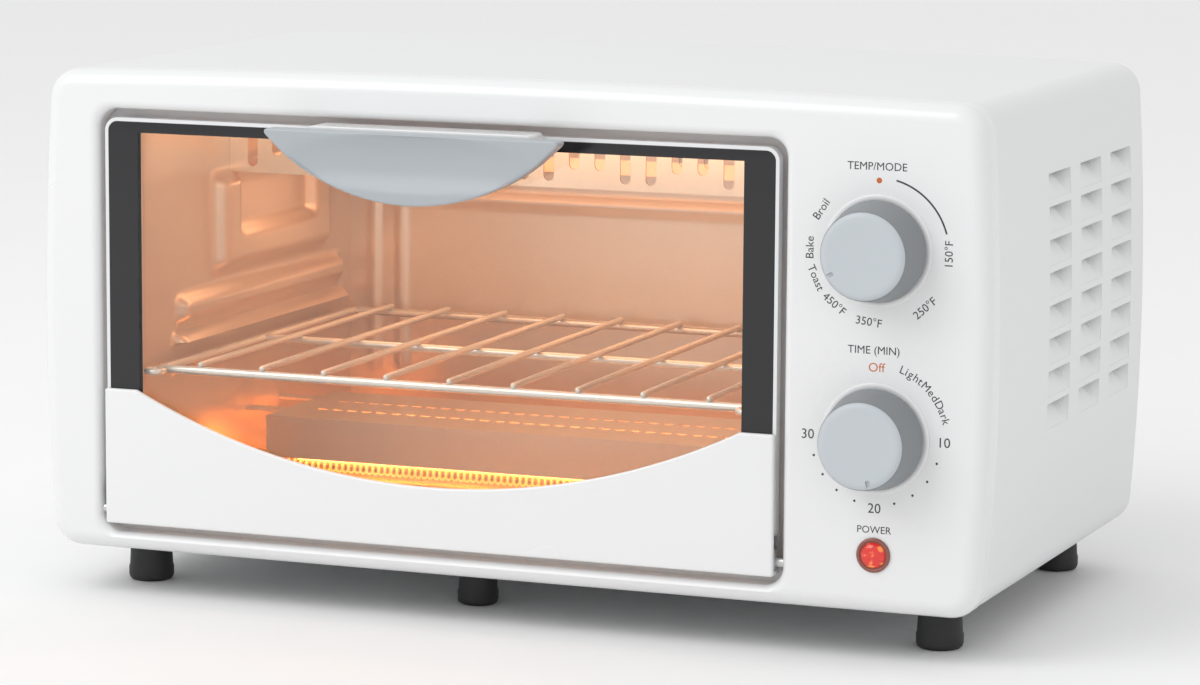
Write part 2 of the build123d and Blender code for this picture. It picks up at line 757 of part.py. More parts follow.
# ---- dials --------------------------------------------------------------------------------
def make_dial(name, height, rest_turn, body_size, body_depth_y):
    """Knob, its shaft with a flat, the collar around it and the control behind it."""
    axis = Plane(origin=(dial_x, at(0), height), x_dir=(1, 0, 0), z_dir=(0, -1, 0))
    skirt = axis.offset(knob_clearance)
    face = axis.offset(knob_reach)
    with BuildPart() as knob:
        with BuildSketch(skirt):
            Circle(knob_base_radius)
        with BuildSketch(face):
            Circle(knob_face_radius)
        loft()
        fillet(knob.faces().sort_by(Axis.Y)[0].edges(), 1.4)
        with BuildSketch(skirt):
            Circle(shaft_radius + running_fit)
            with Locations((0, 2 * shaft_radius - shaft_flat + running_fit)):
                Rectangle(3 * shaft_radius, 2 * shaft_radius, mode=Mode.SUBTRACT)
        extrude(amount=knob_bore_depth, mode=Mode.SUBTRACT)
        with BuildSketch(face.offset(-0.7)):
            reach = knob_face_radius - 3.6
            turn = radians(rest_turn)
            with Locations(Location((reach * sin(turn), reach * cos(turn), 0), (0, 0, -rest_turn))):
                SlotOverall(5.0, 1.2, rotation=90)
        extrude(amount=2.0, mode=Mode.SUBTRACT)
    keep(knob, f"{name}_knob")

    with BuildPart() as shaft:
        with BuildSketch(axis.offset(-bracket_y - 12)):
            Circle(shaft_radius)
        extrude(amount=12 + bracket_y)
        with BuildSketch(axis):
            Circle(shaft_radius)
            with Locations((0, 2 * shaft_radius - shaft_flat)):
                Rectangle(3 * shaft_radius, 2 * shaft_radius, mode=Mode.SUBTRACT)
        extrude(amount=knob_clearance + knob_bore_depth - 0.5)
    keep(shaft, f"{name}_shaft")

    with BuildPart() as collar:
        with BuildSketch(axis.offset(joint_gap / 2)):
            Circle(collar_radius)
            Circle(shaft_radius + shaft_clearance, mode=Mode.SUBTRACT)
        extrude(amount=collar_height)
    keep(collar, f"{name}_dial_collar")

    width, tall = body_size
    with BuildPart() as control:
        with BuildSketch(axis.offset(-bracket_y - sheet - joint_gap - body_depth_y)):
            RectangleRounded(width, tall, 3.0)
        extrude(amount=body_depth_y)
        with BuildSketch(axis.offset(-bracket_y - 12.5)):
            Circle(shaft_radius + running_fit)
        extrude(amount=14, mode=Mode.SUBTRACT)
    keep(control, f"{name}_control")


def make_controls(bosses):
    """Both dials, the steel bracket that carries them, the bell and the power lamp."""
    make_dial("temperature", temp_z, temp_rest_turn, (34, 30), 18)
    make_dial("timer", timer_z, timer_rest_turn, (52, 50), 30)
    bell_y = bracket_y + sheet + joint_gap + 30
    with BuildPart() as bell:
        with BuildSketch(facing(bell_y + joint_gap + 9)):
            with Locations((dial_x, timer_z)):
                Circle(19)
        extrude(amount=9)
        fillet(bell.faces().sort_by(Axis.Y)[-1].edges(), 6)
    keep(bell, "timer_bell")

    with BuildPart() as bracket:
        with BuildSketch(facing(bracket_y + sheet)):
            with Locations((dial_x + 1, (temp_z + timer_z) / 2 - 9)):
                Rectangle(66, 158)
            with Locations((dial_x, temp_z), (dial_x, timer_z)):
                Circle(shaft_radius + 2, mode=Mode.SUBTRACT)
            with Locations((dial_x, lamp_z)):
                Circle(5, mode=Mode.SUBTRACT)
            with Locations(*bosses):
                Circle(screw_radius + screw_slack, mode=Mode.SUBTRACT)
        extrude(amount=sheet)
    keep(bracket, "control_bracket")

    with BuildPart() as lens:
        with BuildSketch(facing(7)):
            with Locations((dial_x, lamp_z)):
                Circle(lamp_radius)
        extrude(amount=7 + lamp_reach)
        fillet(lens.faces().sort_by(Axis.Y)[0].edges(), 2.0)
        with BuildSketch(facing(7)):
            with Locations((dial_x, lamp_z)):
                Circle(neon_radius + 0.6)
        extrude(amount=5, mode=Mode.SUBTRACT)
    keep(lens, "power_lamp_lens")

    with BuildPart() as bezel:
        with BuildSketch(facing(-joint_gap / 2)):
            with Locations((dial_x, lamp_z)):
                Circle(lamp_radius + 1.5)
                Circle(lamp_radius + running_fit, mode=Mode.SUBTRACT)
        extrude(amount=0.9)
    keep(bezel, "power_lamp_bezel")

    with BuildPart() as neon:
        with BuildSketch(facing(bracket_y + 2)):
            with Locations((dial_x, lamp_z)):
                Circle(neon_radius)
        extrude(amount=bracket_y - 1)
    keep(neon, "neon_bulb")


# ---- feet and fasteners -------------------------------------------------------------------
def feet_places():
    """Foot centres: x, depth and radius."""
    return [
        (-foot_x, foot_front_y, foot_radius),
        (foot_x, foot_front_y, foot_radius),
        (-foot_x, foot_rear_y, foot_radius),
        (foot_x, foot_rear_y, foot_radius),
        (cavity_middle, foot_front_y + 6, centre_foot_radius),
    ]


def make_feet():
    """Five rubber feet, each held by a screw sunk in its underside."""
    names = ["front_left", "front_right", "rear_left", "rear_right", "front_centre"]
    for name, (x, y, radius) in zip(names, feet_places()):
        with BuildPart() as foot:
            with BuildSketch(Plane.XY):
                with Locations((x, at(y))):
                    Circle(radius)
            extrude(amount=base_z - joint_gap)
            fillet(foot.faces().sort_by(Axis.Z)[0].edges(), foot_edge)
            with BuildSketch(Plane.XY):
                with Locations((x, at(y))):
                    Circle(screw_head_radius + 0.6)
            extrude(amount=foot_bore_depth, mode=Mode.SUBTRACT)
            with BuildSketch(Plane.XY):
                with Locations((x, at(y))):
                    Circle(screw_radius + foot_screw_slack)
            extrude(amount=foot_height + 4, mode=Mode.SUBTRACT)
        keep(foot, f"foot_{name}")
    with BuildPart() as screws:
        for x, y, radius in feet_places():
            with BuildSketch(Plane.XY.offset(foot_bore_depth - screw_head_height)):
                with Locations((x, at(y))):
                    Circle(screw_head_radius)
            extrude(amount=screw_head_height)
            with BuildSketch(Plane.XY.offset(foot_bore_depth - 0.5)):
                with Locations((x, at(y))):
                    Circle(screw_radius + foot_screw_slack - screw_slack)
            extrude(amount=base_z + sheet - foot_bore_depth)
    keep(screws, "foot_screws")


def make_screws(bosses):
    """Pan-head screws: around the back, in the handle, the door panel and the control bracket."""
    with BuildPart() as back_screws:
        with BuildSketch(facing(body_depth + screw_head_height)):
            with Locations(*back_screw_places()):
                Circle(screw_head_radius)
        extrude(amount=screw_head_height)
        with BuildSketch(facing(body_depth + 0.5)):
            with Locations(*back_screw_places()):
                Circle(screw_radius)
        extrude(amount=5.0)
    keep(back_screws, "back_screws")

    sets = {
        "handle_screws": (handle_screw_places(), glass_front_y + glass_thickness + joint_gap, 12.5),
        "door_panel_screws": (panel_screw_places(), hinge_y + 3.4 + joint_gap, 7.5),
    }
    for name, (places, seat, length) in sets.items():
        with BuildPart() as screws:
            with BuildSketch(facing(seat + screw_head_height)):
                with Locations(*places):
                    Circle(screw_head_radius)
            extrude(amount=screw_head_height)
            with BuildSketch(facing(seat + 0.5)):
                with Locations(*places):
                    Circle(screw_radius)
            extrude(amount=length)
        keep(screws, name)

    with BuildPart() as control_screws:
        with BuildSketch(facing(bracket_y + sheet + screw_head_height)):
            with Locations(*bosses):
                Circle(screw_head_radius)
        extrude(amount=screw_head_height)
        with BuildSketch(facing(bracket_y + sheet + 0.5)):
            with Locations(*bosses):
                Circle(screw_radius)
        extrude(amount=9.0)
    keep(control_screws, "control_screws")


def make_rear_fittings():
    """Cord gland in the back panel and the terminal block inside it."""
    with BuildPart() as gland:
        with BuildSketch(facing(body_depth + gland_reach)):
            with Locations((gland_x, gland_z)):
                Circle(gland_radius)
                Circle(gland_bore, mode=Mode.SUBTRACT)
        extrude(amount=gland_reach + body_depth - back_panel_y - joint_gap)
        with BuildSketch(facing(body_depth)):
            with Locations((gland_x, gland_z)):
                Circle(gland_radius - 2 - running_fit)
                Circle(gland_bore, mode=Mode.SUBTRACT)
        extrude(amount=8)
    keep(gland, "cord_gland")
    block_y = body_depth - 36
    with BuildPart() as block:
        with BuildSketch(Plane.XY.offset(base_top + joint_gap)):
            with Locations((gland_x, at(block_y))):
                RectangleRounded(34, 16, 2)
        extrude(amount=14)
        with BuildSketch(Plane.XY.offset(base_top + joint_gap + 14)):
            with Locations((gland_x, at(block_y))):
                with GridLocations(11, 0, 3, 1):
                    Circle(3)
        extrude(amount=-5, mode=Mode.SUBTRACT)
    keep(block, "terminal_block")


os.makedirs("parts", exist_ok=True)
screw_bosses = make_fascia()
make_case()
make_base()
make_back()
make_side_wall("cavity_left_wall", cavity_left, 1)
make_side_wall("cavity_right_wall", cavity_right, -1)
make_roof_and_rear()
make_upper_guard()
make_lower_guard()
make_heaters()
make_rack()
make_tray()
make_door()
make_handle()
make_controls(screw_bosses)
make_feet()
make_screws(screw_bosses)
make_rear_fittings()
print("pieces written:", part_count)
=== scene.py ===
# %% [markdown]
# # A countertop toaster oven
# The oven is already built as a CAD model: every piece has its true size, place and motion.
# This lesson dresses that model. Some pieces are remodelled with softer, richer shapes, and
# every surface gets a finish made of nodes. We begin by loading the model and noting its box,
# because nothing that we make may grow out of it.

# %% Load the frame
import bmesh
import bpy
import json
from math import cos, pi, radians, sin
from mathutils import Matrix, Vector


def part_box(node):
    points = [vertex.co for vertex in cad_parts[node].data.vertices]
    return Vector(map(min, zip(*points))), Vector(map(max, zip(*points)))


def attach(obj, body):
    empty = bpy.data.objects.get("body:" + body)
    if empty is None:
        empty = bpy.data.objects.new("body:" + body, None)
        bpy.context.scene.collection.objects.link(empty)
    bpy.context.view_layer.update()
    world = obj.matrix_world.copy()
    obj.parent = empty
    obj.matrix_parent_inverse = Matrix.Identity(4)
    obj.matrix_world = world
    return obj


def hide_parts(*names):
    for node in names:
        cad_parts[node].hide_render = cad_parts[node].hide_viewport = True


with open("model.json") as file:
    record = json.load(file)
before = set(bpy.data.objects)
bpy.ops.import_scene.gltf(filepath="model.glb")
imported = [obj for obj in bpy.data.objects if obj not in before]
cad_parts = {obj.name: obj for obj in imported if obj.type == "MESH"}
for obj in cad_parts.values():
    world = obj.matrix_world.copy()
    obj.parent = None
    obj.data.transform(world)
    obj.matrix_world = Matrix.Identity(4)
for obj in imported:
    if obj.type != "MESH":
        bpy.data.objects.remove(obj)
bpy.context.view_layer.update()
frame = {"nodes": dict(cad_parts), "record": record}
print("pieces in the frame:", len(frame["nodes"]))

# %% [markdown]
# ## Measures
# The model is in metres, but a kitchen appliance is drawn in millimetres. Depths are measured
# back from the front face, as a product designer does, so one helper turns a depth into a
# place. The main sizes are read from the frame and not typed again, so they always agree.

# %% Measures
mm = 0.001
fascia_low, fascia_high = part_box("front_fascia")
case_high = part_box("outer_case")[1]
front_face = fascia_low.y
half_body = fascia_high.x
body_low = fascia_low.z
body_high = fascia_high.z
side_bow = 3.6 * mm
crown = 2.4 * mm
body_corner = 10 * mm


def at(depth):
    """The Y of a depth in millimetres behind the front face."""
    return front_face + depth * mm


print("front face at", round(front_face, 5), "body height", round(body_high - body_low, 4))

# %% [markdown]
# ## The camera
# A long lens from a little above and to the right gives the calm, nearly parallel lines of a
# shop picture. The camera is built from three directions: right, up and back. A tiny roll is
# added at the end, as a hand-held camera has. Depth of field stays off, so all is sharp.

# %% Camera
yaw, pitch, roll = radians(21.265), radians(8.384), radians(0.379)
forward = Vector((-sin(yaw) * cos(pitch), cos(yaw) * cos(pitch), -sin(pitch)))
level_right = Vector((cos(yaw), sin(yaw), 0))
level_up = level_right.cross(forward)
right = cos(roll) * level_right + sin(roll) * level_up
up = -sin(roll) * level_right + cos(roll) * level_up
bpy.ops.object.camera_add(location=(0.5892, front_face - 1.4108, 0.3301))
camera = bpy.context.object
camera.rotation_euler = Matrix((right, up, -forward)).transposed().to_euler()
camera.data.lens = 130.2
camera.data.sensor_width = 36
bpy.context.scene.camera = camera
print("camera is", round(camera.location.length, 2), "m from the middle")

# %% [markdown]
# ## Wiring finishes
# A finish is a little network of nodes. Wiring dozens of them by hand is slow, so two small
# classes help. A Wire stands for one socket and understands +, - and *, so shader maths
# reads like ordinary maths. A Finish holds one material, and its add method makes any node.

# %% Wire
class Wire:
    """One output socket; arithmetic on it adds Math nodes."""

    def __init__(self, finish, socket):
        self.finish = finish
        self.socket = socket

    def maths(self, operation, first, second, clamp=False):
        settings = {"operation": operation, "use_clamp": clamp}
        return self.finish.add("ShaderNodeMath", settings, {0: first, 1: second})

    def __add__(self, other):
        return self.maths("ADD", self, other)

    __radd__ = __add__

    def __mul__(self, other):
        return self.maths("MULTIPLY", self, other)

    __rmul__ = __mul__

    def __sub__(self, other):
        return self.maths("SUBTRACT", self, other)

    def __rsub__(self, other):
        return self.maths("SUBTRACT", other, self)

    def clamped(self):
        return self.maths("ADD", self, 0.0, clamp=True)


# %% Finish
class Finish:
    """A material under construction, with its Principled shader ready."""

    def __init__(self, name, **constants):
        self.material = bpy.data.materials.new(name)
        self.material.use_nodes = True
        self.tree = self.material.node_tree
        self.shader = self.tree.nodes["Principled BSDF"]
        self.output = self.tree.nodes["Material Output"]
        self.place = self.add("ShaderNodeTexCoord", output="Object")
        for words, value in constants.items():
            self.shader.inputs[words.replace("_", " ").title().replace("Ior", "IOR")].default_value = value

    def add(self, kind, settings=None, inputs=None, output=0):
        """Add a node: its settings first, then the values or wires of its sockets."""
        node = self.tree.nodes.new(kind)
        for word, value in (settings or {}).items():
            if word == "stops":
                self.set_stops(node.color_ramp, value)
            else:
                setattr(node, word, value)
        for word, value in (inputs or {}).items():
            self.connect(node.inputs[word], value)
        return Wire(self, node.outputs[output])

    def set_stops(self, ramp, stops):
        while len(ramp.elements) < len(stops):
            ramp.elements.new(0.5)
        for element, (position, colour) in zip(ramp.elements, stops):
            element.position = position
            element.color = (*colour, 1)

    def connect(self, socket, value):
        if isinstance(value, Wire):
            self.tree.links.new(value.socket, socket)
        else:
            socket.default_value = value

    def feed(self, **links):
        """Link wires to the Principled shader, as base_color=wire."""
        for words, value in links.items():
            self.connect(self.shader.inputs[words.replace("_", " ").title()], value)
        return self.material

    def noise(self, scale, detail=4.0, stretch=(1, 1, 1)):
        """Smooth random grey at a number of patches per metre."""
        stretched = self.add("ShaderNodeMapping", {}, {"Vector": self.place, "Scale": stretch})
        return self.add("ShaderNodeTexNoise", {}, {"Vector": stretched, "Scale": scale, "Detail": detail})

    def blend(self, factor, first, second):
        """Mix two colours by a factor."""
        ends = {0: factor, 6: (*first, 1), 7: (*second, 1)}
        return self.add("ShaderNodeMix", {"data_type": "RGBA"}, ends, output=2)

    def bump(self, height, strength, distance):
        """A normal that follows a height."""
        inputs = {"Strength": strength, "Distance": distance, "Height": height}
        return self.add("ShaderNodeBump", {}, inputs)


print("wiring helpers are ready")

# %% [markdown]
# ## Everyday finishes
# Most pieces are plastic, paint, rubber or plated metal. They share one recipe: a colour that
# drifts slightly between two tones, a roughness that drifts too, as handled surfaces do, and a
# fine bump at the size of the real texture. Each call gives the recipe its own numbers: moulded
# plastic has a faint orange peel, powder coat is finer and duller, rubber is coarse and matt.

# %% Everyday finishes
def surface(name, light, dark, rough, drift, grain, relief, **constants):
    """A finish whose colour, roughness and relief all vary a little."""
    made = Finish(name, **constants)
    patches = made.noise(28, 3)
    fine = made.noise(grain, 2)
    tone = (patches * 0.7 + fine * 0.3).clamped()
    wear = rough + (patches - 0.5) * drift
    normal = made.bump(fine, 0.35, relief)
    return made.feed(base_color=made.blend(tone, dark, light), roughness=wear, normal=normal)


recipes = {
    "white_gloss_moulding": ((0.80, 0.805, 0.81), (0.785, 0.79, 0.795), 0.26, 0.06, 420, 0.00002),
    "white_painted_steel": ((0.78, 0.785, 0.79), (0.76, 0.765, 0.77), 0.38, 0.12, 1300, 0.00003),
    "trim_metal": ((0.80, 0.81, 0.82), (0.72, 0.73, 0.74), 0.32, 0.10, 900, 0.00002),
    "grey_handle": ((0.405, 0.435, 0.46), (0.375, 0.405, 0.43), 0.36, 0.08, 1500, 0.00002),
    "grey_knob": ((0.52, 0.56, 0.59), (0.48, 0.52, 0.55), 0.40, 0.10, 1800, 0.00002),
    # knob_side_painted_shade: a darker copy of grey_knob, painted shade for the knobs' sides
    "knob_side_painted_shade": ((0.24, 0.255, 0.27), (0.215, 0.23, 0.245), 0.48, 0.10, 1500, 0.00003),
    "bright_wire": ((0.88, 0.84, 0.76), (0.72, 0.67, 0.60), 0.24, 0.12, 700, 0.00002),
    "white_ceramic": ((0.86, 0.84, 0.80), (0.76, 0.73, 0.68), 0.55, 0.12, 1600, 0.00005),
    "zinc_screw": ((0.70, 0.70, 0.68), (0.50, 0.50, 0.50), 0.32, 0.14, 1400, 0.00002),
    "black_rubber": ((0.030, 0.030, 0.032), (0.016, 0.016, 0.018), 0.62, 0.16, 1100, 0.00006),
    "control_plastic": ((0.10, 0.10, 0.11), (0.06, 0.06, 0.07), 0.5, 0.12, 900, 0.00004),
    "lamp_bezel": ((0.30, 0.10, 0.07), (0.20, 0.06, 0.05), 0.3, 0.1, 900, 0.00002),
    "dial_print": ((0.045, 0.045, 0.05), (0.03, 0.03, 0.035), 0.5, 0.1, 1500, 0.00001),
    "dial_print_orange": ((0.62, 0.16, 0.03), (0.52, 0.12, 0.02), 0.5, 0.1, 1500, 0.00001),
}
extras = {
    "white_gloss_moulding": {"coat_weight": 0.25, "coat_roughness": 0.12},
    "grey_handle": {"coat_weight": 0.15, "coat_roughness": 0.3},
    "lamp_bezel": {"coat_weight": 0.4},
    "trim_metal": {"metallic": 0.3},
    "bright_wire": {"metallic": 0.45},
    "zinc_screw": {"metallic": 1.0},
}
finishes = {name: surface(name, *numbers, **extras.get(name, {})) for name, numbers in recipes.items()}
print("everyday finishes:", len(finishes))

# %% [markdown]
# ## Bare steel
# Zinc-coated sheet shows spangle: flat crystal patches that catch the light differently.
# A Voronoi texture gives one random value for each crystal, which shifts both the grey and the
# roughness. Inside the cavity the same sheet gets warmer colours, a painted glow standing in for
# the coils' light on the walls, and long soft streaks run down it.

# %% Bare steel
def spangled(name, light, dark, crystals, rough, metallic, spangle):
    """Zinc-coated sheet with crystal patches and soft streaks."""
    made = Finish(name, metallic=metallic)
    cells = {"Vector": made.place, "Scale": crystals}
    crystal = made.add("ShaderNodeTexVoronoi", {}, cells, output="Color")
    value = made.add("ShaderNodeSeparateColor", {}, {"Color": crystal})
    streaks = made.noise(14, 5, stretch=(1.0, 1.0, 0.25))
    fine = made.noise(1200, 2)
    tone = (value * spangle + streaks * 0.4 + fine * (0.6 - spangle)).clamped()
    normal = made.bump(value * spangle + fine * 0.5, 0.2, 0.00003)
    wear = rough + (value - 0.5) * spangle * 0.3
    return made.feed(base_color=made.blend(tone, dark, light), roughness=wear, normal=normal)


finishes["galvanised_steel"] = spangled(
    "galvanised_steel", (0.66, 0.67, 0.68), (0.48, 0.49, 0.50), 160, 0.42, 0.9, 0.35
)
# The cavity sheet's warm peach colours are a painted glow of the coils' light on the walls.
finishes["cavity_steel"] = spangled(
    "cavity_steel", (0.86, 0.71, 0.58), (0.72, 0.57, 0.44), 330, 0.34, 0.60, 0.06
)
finishes["tray_steel"] = spangled(
    "tray_steel", (0.62, 0.55, 0.47), (0.40, 0.33, 0.26), 180, 0.36, 0.85, 0.25
)
print("steel finishes are ready")

# %% [markdown]
# ## Glass
# Clear glass should let light into the oven. A real refracting shader makes the renderer hunt
# for light paths, so a common trick is used: shadow rays see a plain transparent surface, and
# all other rays see glass. Light then enters freely and reflections stay. The border of the
# pane is black enamel fired on to the glass, so it is simply a glossy black.

# %% Glass
def clear(name, tint, rough, smudge):
    """Glass that casts no shadow and has faint smudges."""
    made = Finish(name, transmission_weight=1.0, ior=1.45)
    haze = made.noise(30, 3)
    fine = made.noise(900, 2)
    made.feed(
        base_color=made.blend(haze, tint, (1, 1, 1)),
        roughness=rough + haze * smudge,
        normal=made.bump(fine, 0.1, 0.00001),
    )
    shadow = made.add("ShaderNodeLightPath", output="Is Shadow Ray")
    open_way = made.add("ShaderNodeBsdfTransparent")
    glassy = Wire(made, made.shader.outputs[0])
    mixed = made.add("ShaderNodeMixShader", {}, {0: shadow, 1: glassy, 2: open_way})
    made.connect(made.output.inputs["Surface"], mixed)
    return made.material


finishes["oven_glass"] = clear("oven_glass", (0.97, 0.96, 0.94), 0.0, 0.015)
finishes["quartz"] = clear("quartz", (1.0, 0.80, 0.62), 0.12, 0.12)
finishes["neon_glass"] = clear("neon_glass", (1.0, 0.75, 0.6), 0.02, 0.04)
finishes["black_enamel"] = surface(
    "black_enamel", (0.014, 0.014, 0.016), (0.010, 0.010, 0.012), 0.16, 0.08, 700, 0.00001
)
print("glass finishes are ready")

# %% [markdown]
# ## Things that glow
# The coils are the light of the picture. Their glow runs from deep orange to yellow, because a
# coil is hottest where its turns lie close. The lamp lens is red plastic lit from behind by a
# small neon bulb, so it glows red, with painted orange-yellow glints scattered over its facets.

# %% Glowing finishes
def glowing(name, cool, hot, strength, patches, base, rough):
    """A finish that gives off its own uneven light."""
    made = Finish(name, emission_strength=strength)
    heat = made.noise(patches, 2)
    fine = made.noise(900, 2)
    return made.feed(
        base_color=made.blend(fine, base, [1.3 * part for part in base]),
        roughness=rough + (fine - 0.5) * 0.1,
        emission_color=made.blend(heat, cool, hot),
        normal=made.bump(fine, 0.2, 0.00002),
    )


finishes["glowing_coil"] = glowing(
    "glowing_coil", (1.0, 0.20, 0.03), (1.0, 0.46, 0.10), 2.2, 60, (0.20, 0.10, 0.06), 0.5
)
lens_red = Finish("red_lens", emission_strength=0.55, coat_weight=0.6, coat_roughness=0.05)
facet_light = lens_red.noise(420, 1)
# painted_glint: bright orange-yellow spots in the lens's glow, painted highlights on its facets
painted_glint = ((facet_light - 0.54) * 9).clamped()
lens_red.feed(
    base_color=lens_red.blend(facet_light, (0.30, 0.008, 0.008), (0.55, 0.03, 0.02)),
    roughness=0.10 + facet_light * 0.1,
    emission_color=lens_red.blend(painted_glint, (0.62, 0.015, 0.008), (1.0, 0.42, 0.07)),
    normal=lens_red.bump(facet_light, 0.5, 0.0002),
)
finishes["red_lens"] = lens_red.material
print("finishes altogether:", len(finishes))

# %% [markdown]
# ## Dressing the CAD pieces
# Pieces whose CAD shape is already right keep it and only change their finish. The record that
# came with the model says which slot each piece belongs to, so one loop dresses them all. The
# pieces that are remodelled further on will hide their CAD twins.

# %% Dress the CAD pieces
slot_of = {entry["node"]: entry["material_slot"] for entry in frame["record"]["subparts"]}


def dress(piece, *names):
    """Give a piece these finishes, in order, and no others."""
    piece.data.materials.clear()
    for name in names:
        piece.data.materials.append(finishes[name])


for name, node in frame["nodes"].items():
    dress(node, slot_of[name])
print("CAD pieces dressed:", len(slot_of))

# %% [markdown]
# ## Modelling by hand, in code
# Everything below is made as you would make it with a mouse: add a primitive, select some of
# its points, edges or faces by where they are, then extrude, bevel, bisect or move them. The
# helpers in the next cells do the selecting and the tidy finish at the end.

# %% Select and settle
def take(piece):
    """Make one piece the only selected and active one."""
    bpy.ops.object.select_all(action="DESELECT")
    piece.select_set(True)
    bpy.context.view_layer.objects.active = piece
    return piece


def settle(piece):
    """Move a piece's place, turn and size into its mesh."""
    take(piece)
    bpy.ops.object.transform_apply(location=True, rotation=True, scale=True)
    return piece


def middle(part):
    """The middle of a point, edge or face."""
    if isinstance(part, bmesh.types.BMVert):
        return part.co
    return sum((corner.co for corner in part.verts), Vector()) / len(part.verts)


def pick(piece, kind, wanted):
    """Enter edit mode with only the wanted verts, edges or faces selected."""
    take(piece)
    bpy.ops.object.mode_set(mode="EDIT")
    bpy.context.tool_settings.mesh_select_mode = [kind == word for word in ("verts", "edges", "faces")]
    bpy.ops.mesh.select_all(action="DESELECT")
    shape = bmesh.from_edit_mesh(piece.data)
    shape.normal_update()
    chosen = [part for part in getattr(shape, kind) if wanted(part)]
    for part in chosen:
        part.select_set(True)
    shape.select_flush_mode()
    bmesh.update_edit_mesh(piece.data)
    return len(chosen)


def done():
    """Leave edit mode."""
    bpy.ops.object.mode_set(mode="OBJECT")


print("selecting helpers are ready")


# %% Blocks, cuts and modifiers
def block(name, low, high):
    """A box between two corners: always only the start of a piece."""
    low, high = Vector(low), Vector(high)
    bpy.ops.mesh.primitive_cube_add(size=1, location=(low + high) / 2)
    piece = bpy.context.object
    piece.name = name
    piece.scale = high - low
    return settle(piece)


def slice_across(piece, axis, places):
    """Bisect a piece into rows across one axis."""
    normal = Vector((axis == 0, axis == 1, axis == 2))
    for place in places:
        pick(piece, "faces", lambda face: True)
        bpy.ops.mesh.bisect(plane_co=normal * place, plane_no=normal)
        done()


def modify(piece, kind, **settings):
    """Add a modifier and apply it at once."""
    take(piece)
    modifier = piece.modifiers.new(kind.title(), kind)
    for word, value in settings.items():
        setattr(modifier, word, value)
    bpy.ops.object.modifier_apply(modifier=modifier.name)
    return piece


def cut(piece, cutter):
    """Take the cutter's shape out of a piece, and throw the cutter away."""
    modify(piece, "BOOLEAN", object=cutter, operation="DIFFERENCE", solver="EXACT")
    bpy.data.objects.remove(cutter)
    return piece


def soften(piece, width, segments=2, angle=40):
    """Round every edge that is sharper than an angle."""
    return modify(
        piece, "BEVEL", width=width, segments=segments, limit_method="ANGLE", angle_limit=radians(angle)
    )


def join(pieces, name):
    """Several pieces become one mesh."""
    take(pieces[0])
    for piece in pieces[1:]:
        piece.select_set(True)
    bpy.ops.object.join()
    pieces[0].name = name
    return pieces[0]


def copy_of(piece, name, move=(0, 0, 0)):
    """A copy with its own mesh, moved."""
    twin = piece.copy()
    twin.data = piece.data.copy()
    twin.name = name
    twin.location = Vector(move)
    bpy.context.scene.collection.objects.link(twin)
    return settle(twin)


print("shaping helpers are ready")


# %% Turned pieces
def turned(name, rings, start, direction, sides=64):
    """A lathe shape: a disc, extruded and resized from ring to ring of (distance, radius)."""
    start = Vector(start)
    direction = Vector(direction)
    turn = direction.to_track_quat("Z", "Y").to_euler()
    distance, radius = rings[0]
    bpy.ops.mesh.primitive_circle_add(
        vertices=sides, radius=radius, fill_type="NGON", location=start + direction * distance, rotation=turn
    )
    piece = settle(bpy.context.object)
    piece.name = name
    pick(piece, "faces", lambda face: True)
    for (old, before), (new, radius) in zip(rings, rings[1:]):
        bpy.ops.mesh.extrude_region_move(TRANSFORM_OT_translate={"value": direction * (new - old)})
        size = radius / before
        bpy.ops.transform.resize(value=(size, size, size), center_override=start + direction * new)
    bpy.ops.mesh.select_all(action="SELECT")
    bpy.ops.mesh.normals_make_consistent(inside=False)
    done()
    return piece


def lathe(name, profile, start, direction, sides=64):
    """A turned piece whose distances and radii are in millimetres."""
    return turned(name, [(a * mm, b * mm) for a, b in profile], start, direction, sides)


def rounded_block(name, low, high, corner, segments=8, axis=1):
    """A block whose four edges along one axis are rounded."""
    piece = block(name, low, high)
    pick(piece, "edges", lambda edge: abs((edge.verts[1].co - edge.verts[0].co)[axis]) > 1e-6)
    bpy.ops.mesh.bevel(offset=corner, segments=segments, affect="EDGES", clamp_overlap=True)
    done()
    return piece


# %% Finishing a piece
def finish_piece(piece, body, slot, *nodes, angle=35, dressed=False):
    """Smooth shading, flat faces kept flat, then the slot's finish unless already dressed, the body, and the
    CAD nodes hidden.
    """
    take(piece)
    bpy.ops.object.shade_smooth_by_angle(angle=radians(angle))
    modify(piece, "WEIGHTED_NORMAL", keep_sharp=True, weight=60)
    if not dressed:
        dress(piece, slot)
    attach(piece, body)
    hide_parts(*nodes)
    print(piece.name, "has", len(piece.data.polygons), "faces")
    return piece


# %% [markdown]
# ## The body's shape
# Seen from the front the body is not a plain rectangle. Its sides belly out and its top rises
# a little, which keeps thin walls from looking dented. We start with a block whose long edges
# are rounded, slice it into rows, and then widen each row and lift each column by hand.

# %% Body block
def levels_of(piece, axis, above=-1.0):
    """Every distinct coordinate along an axis, of the points higher than a level."""
    return sorted({round(vert.co[axis], 6) for vert in piece.data.vertices if vert.co.z > above})


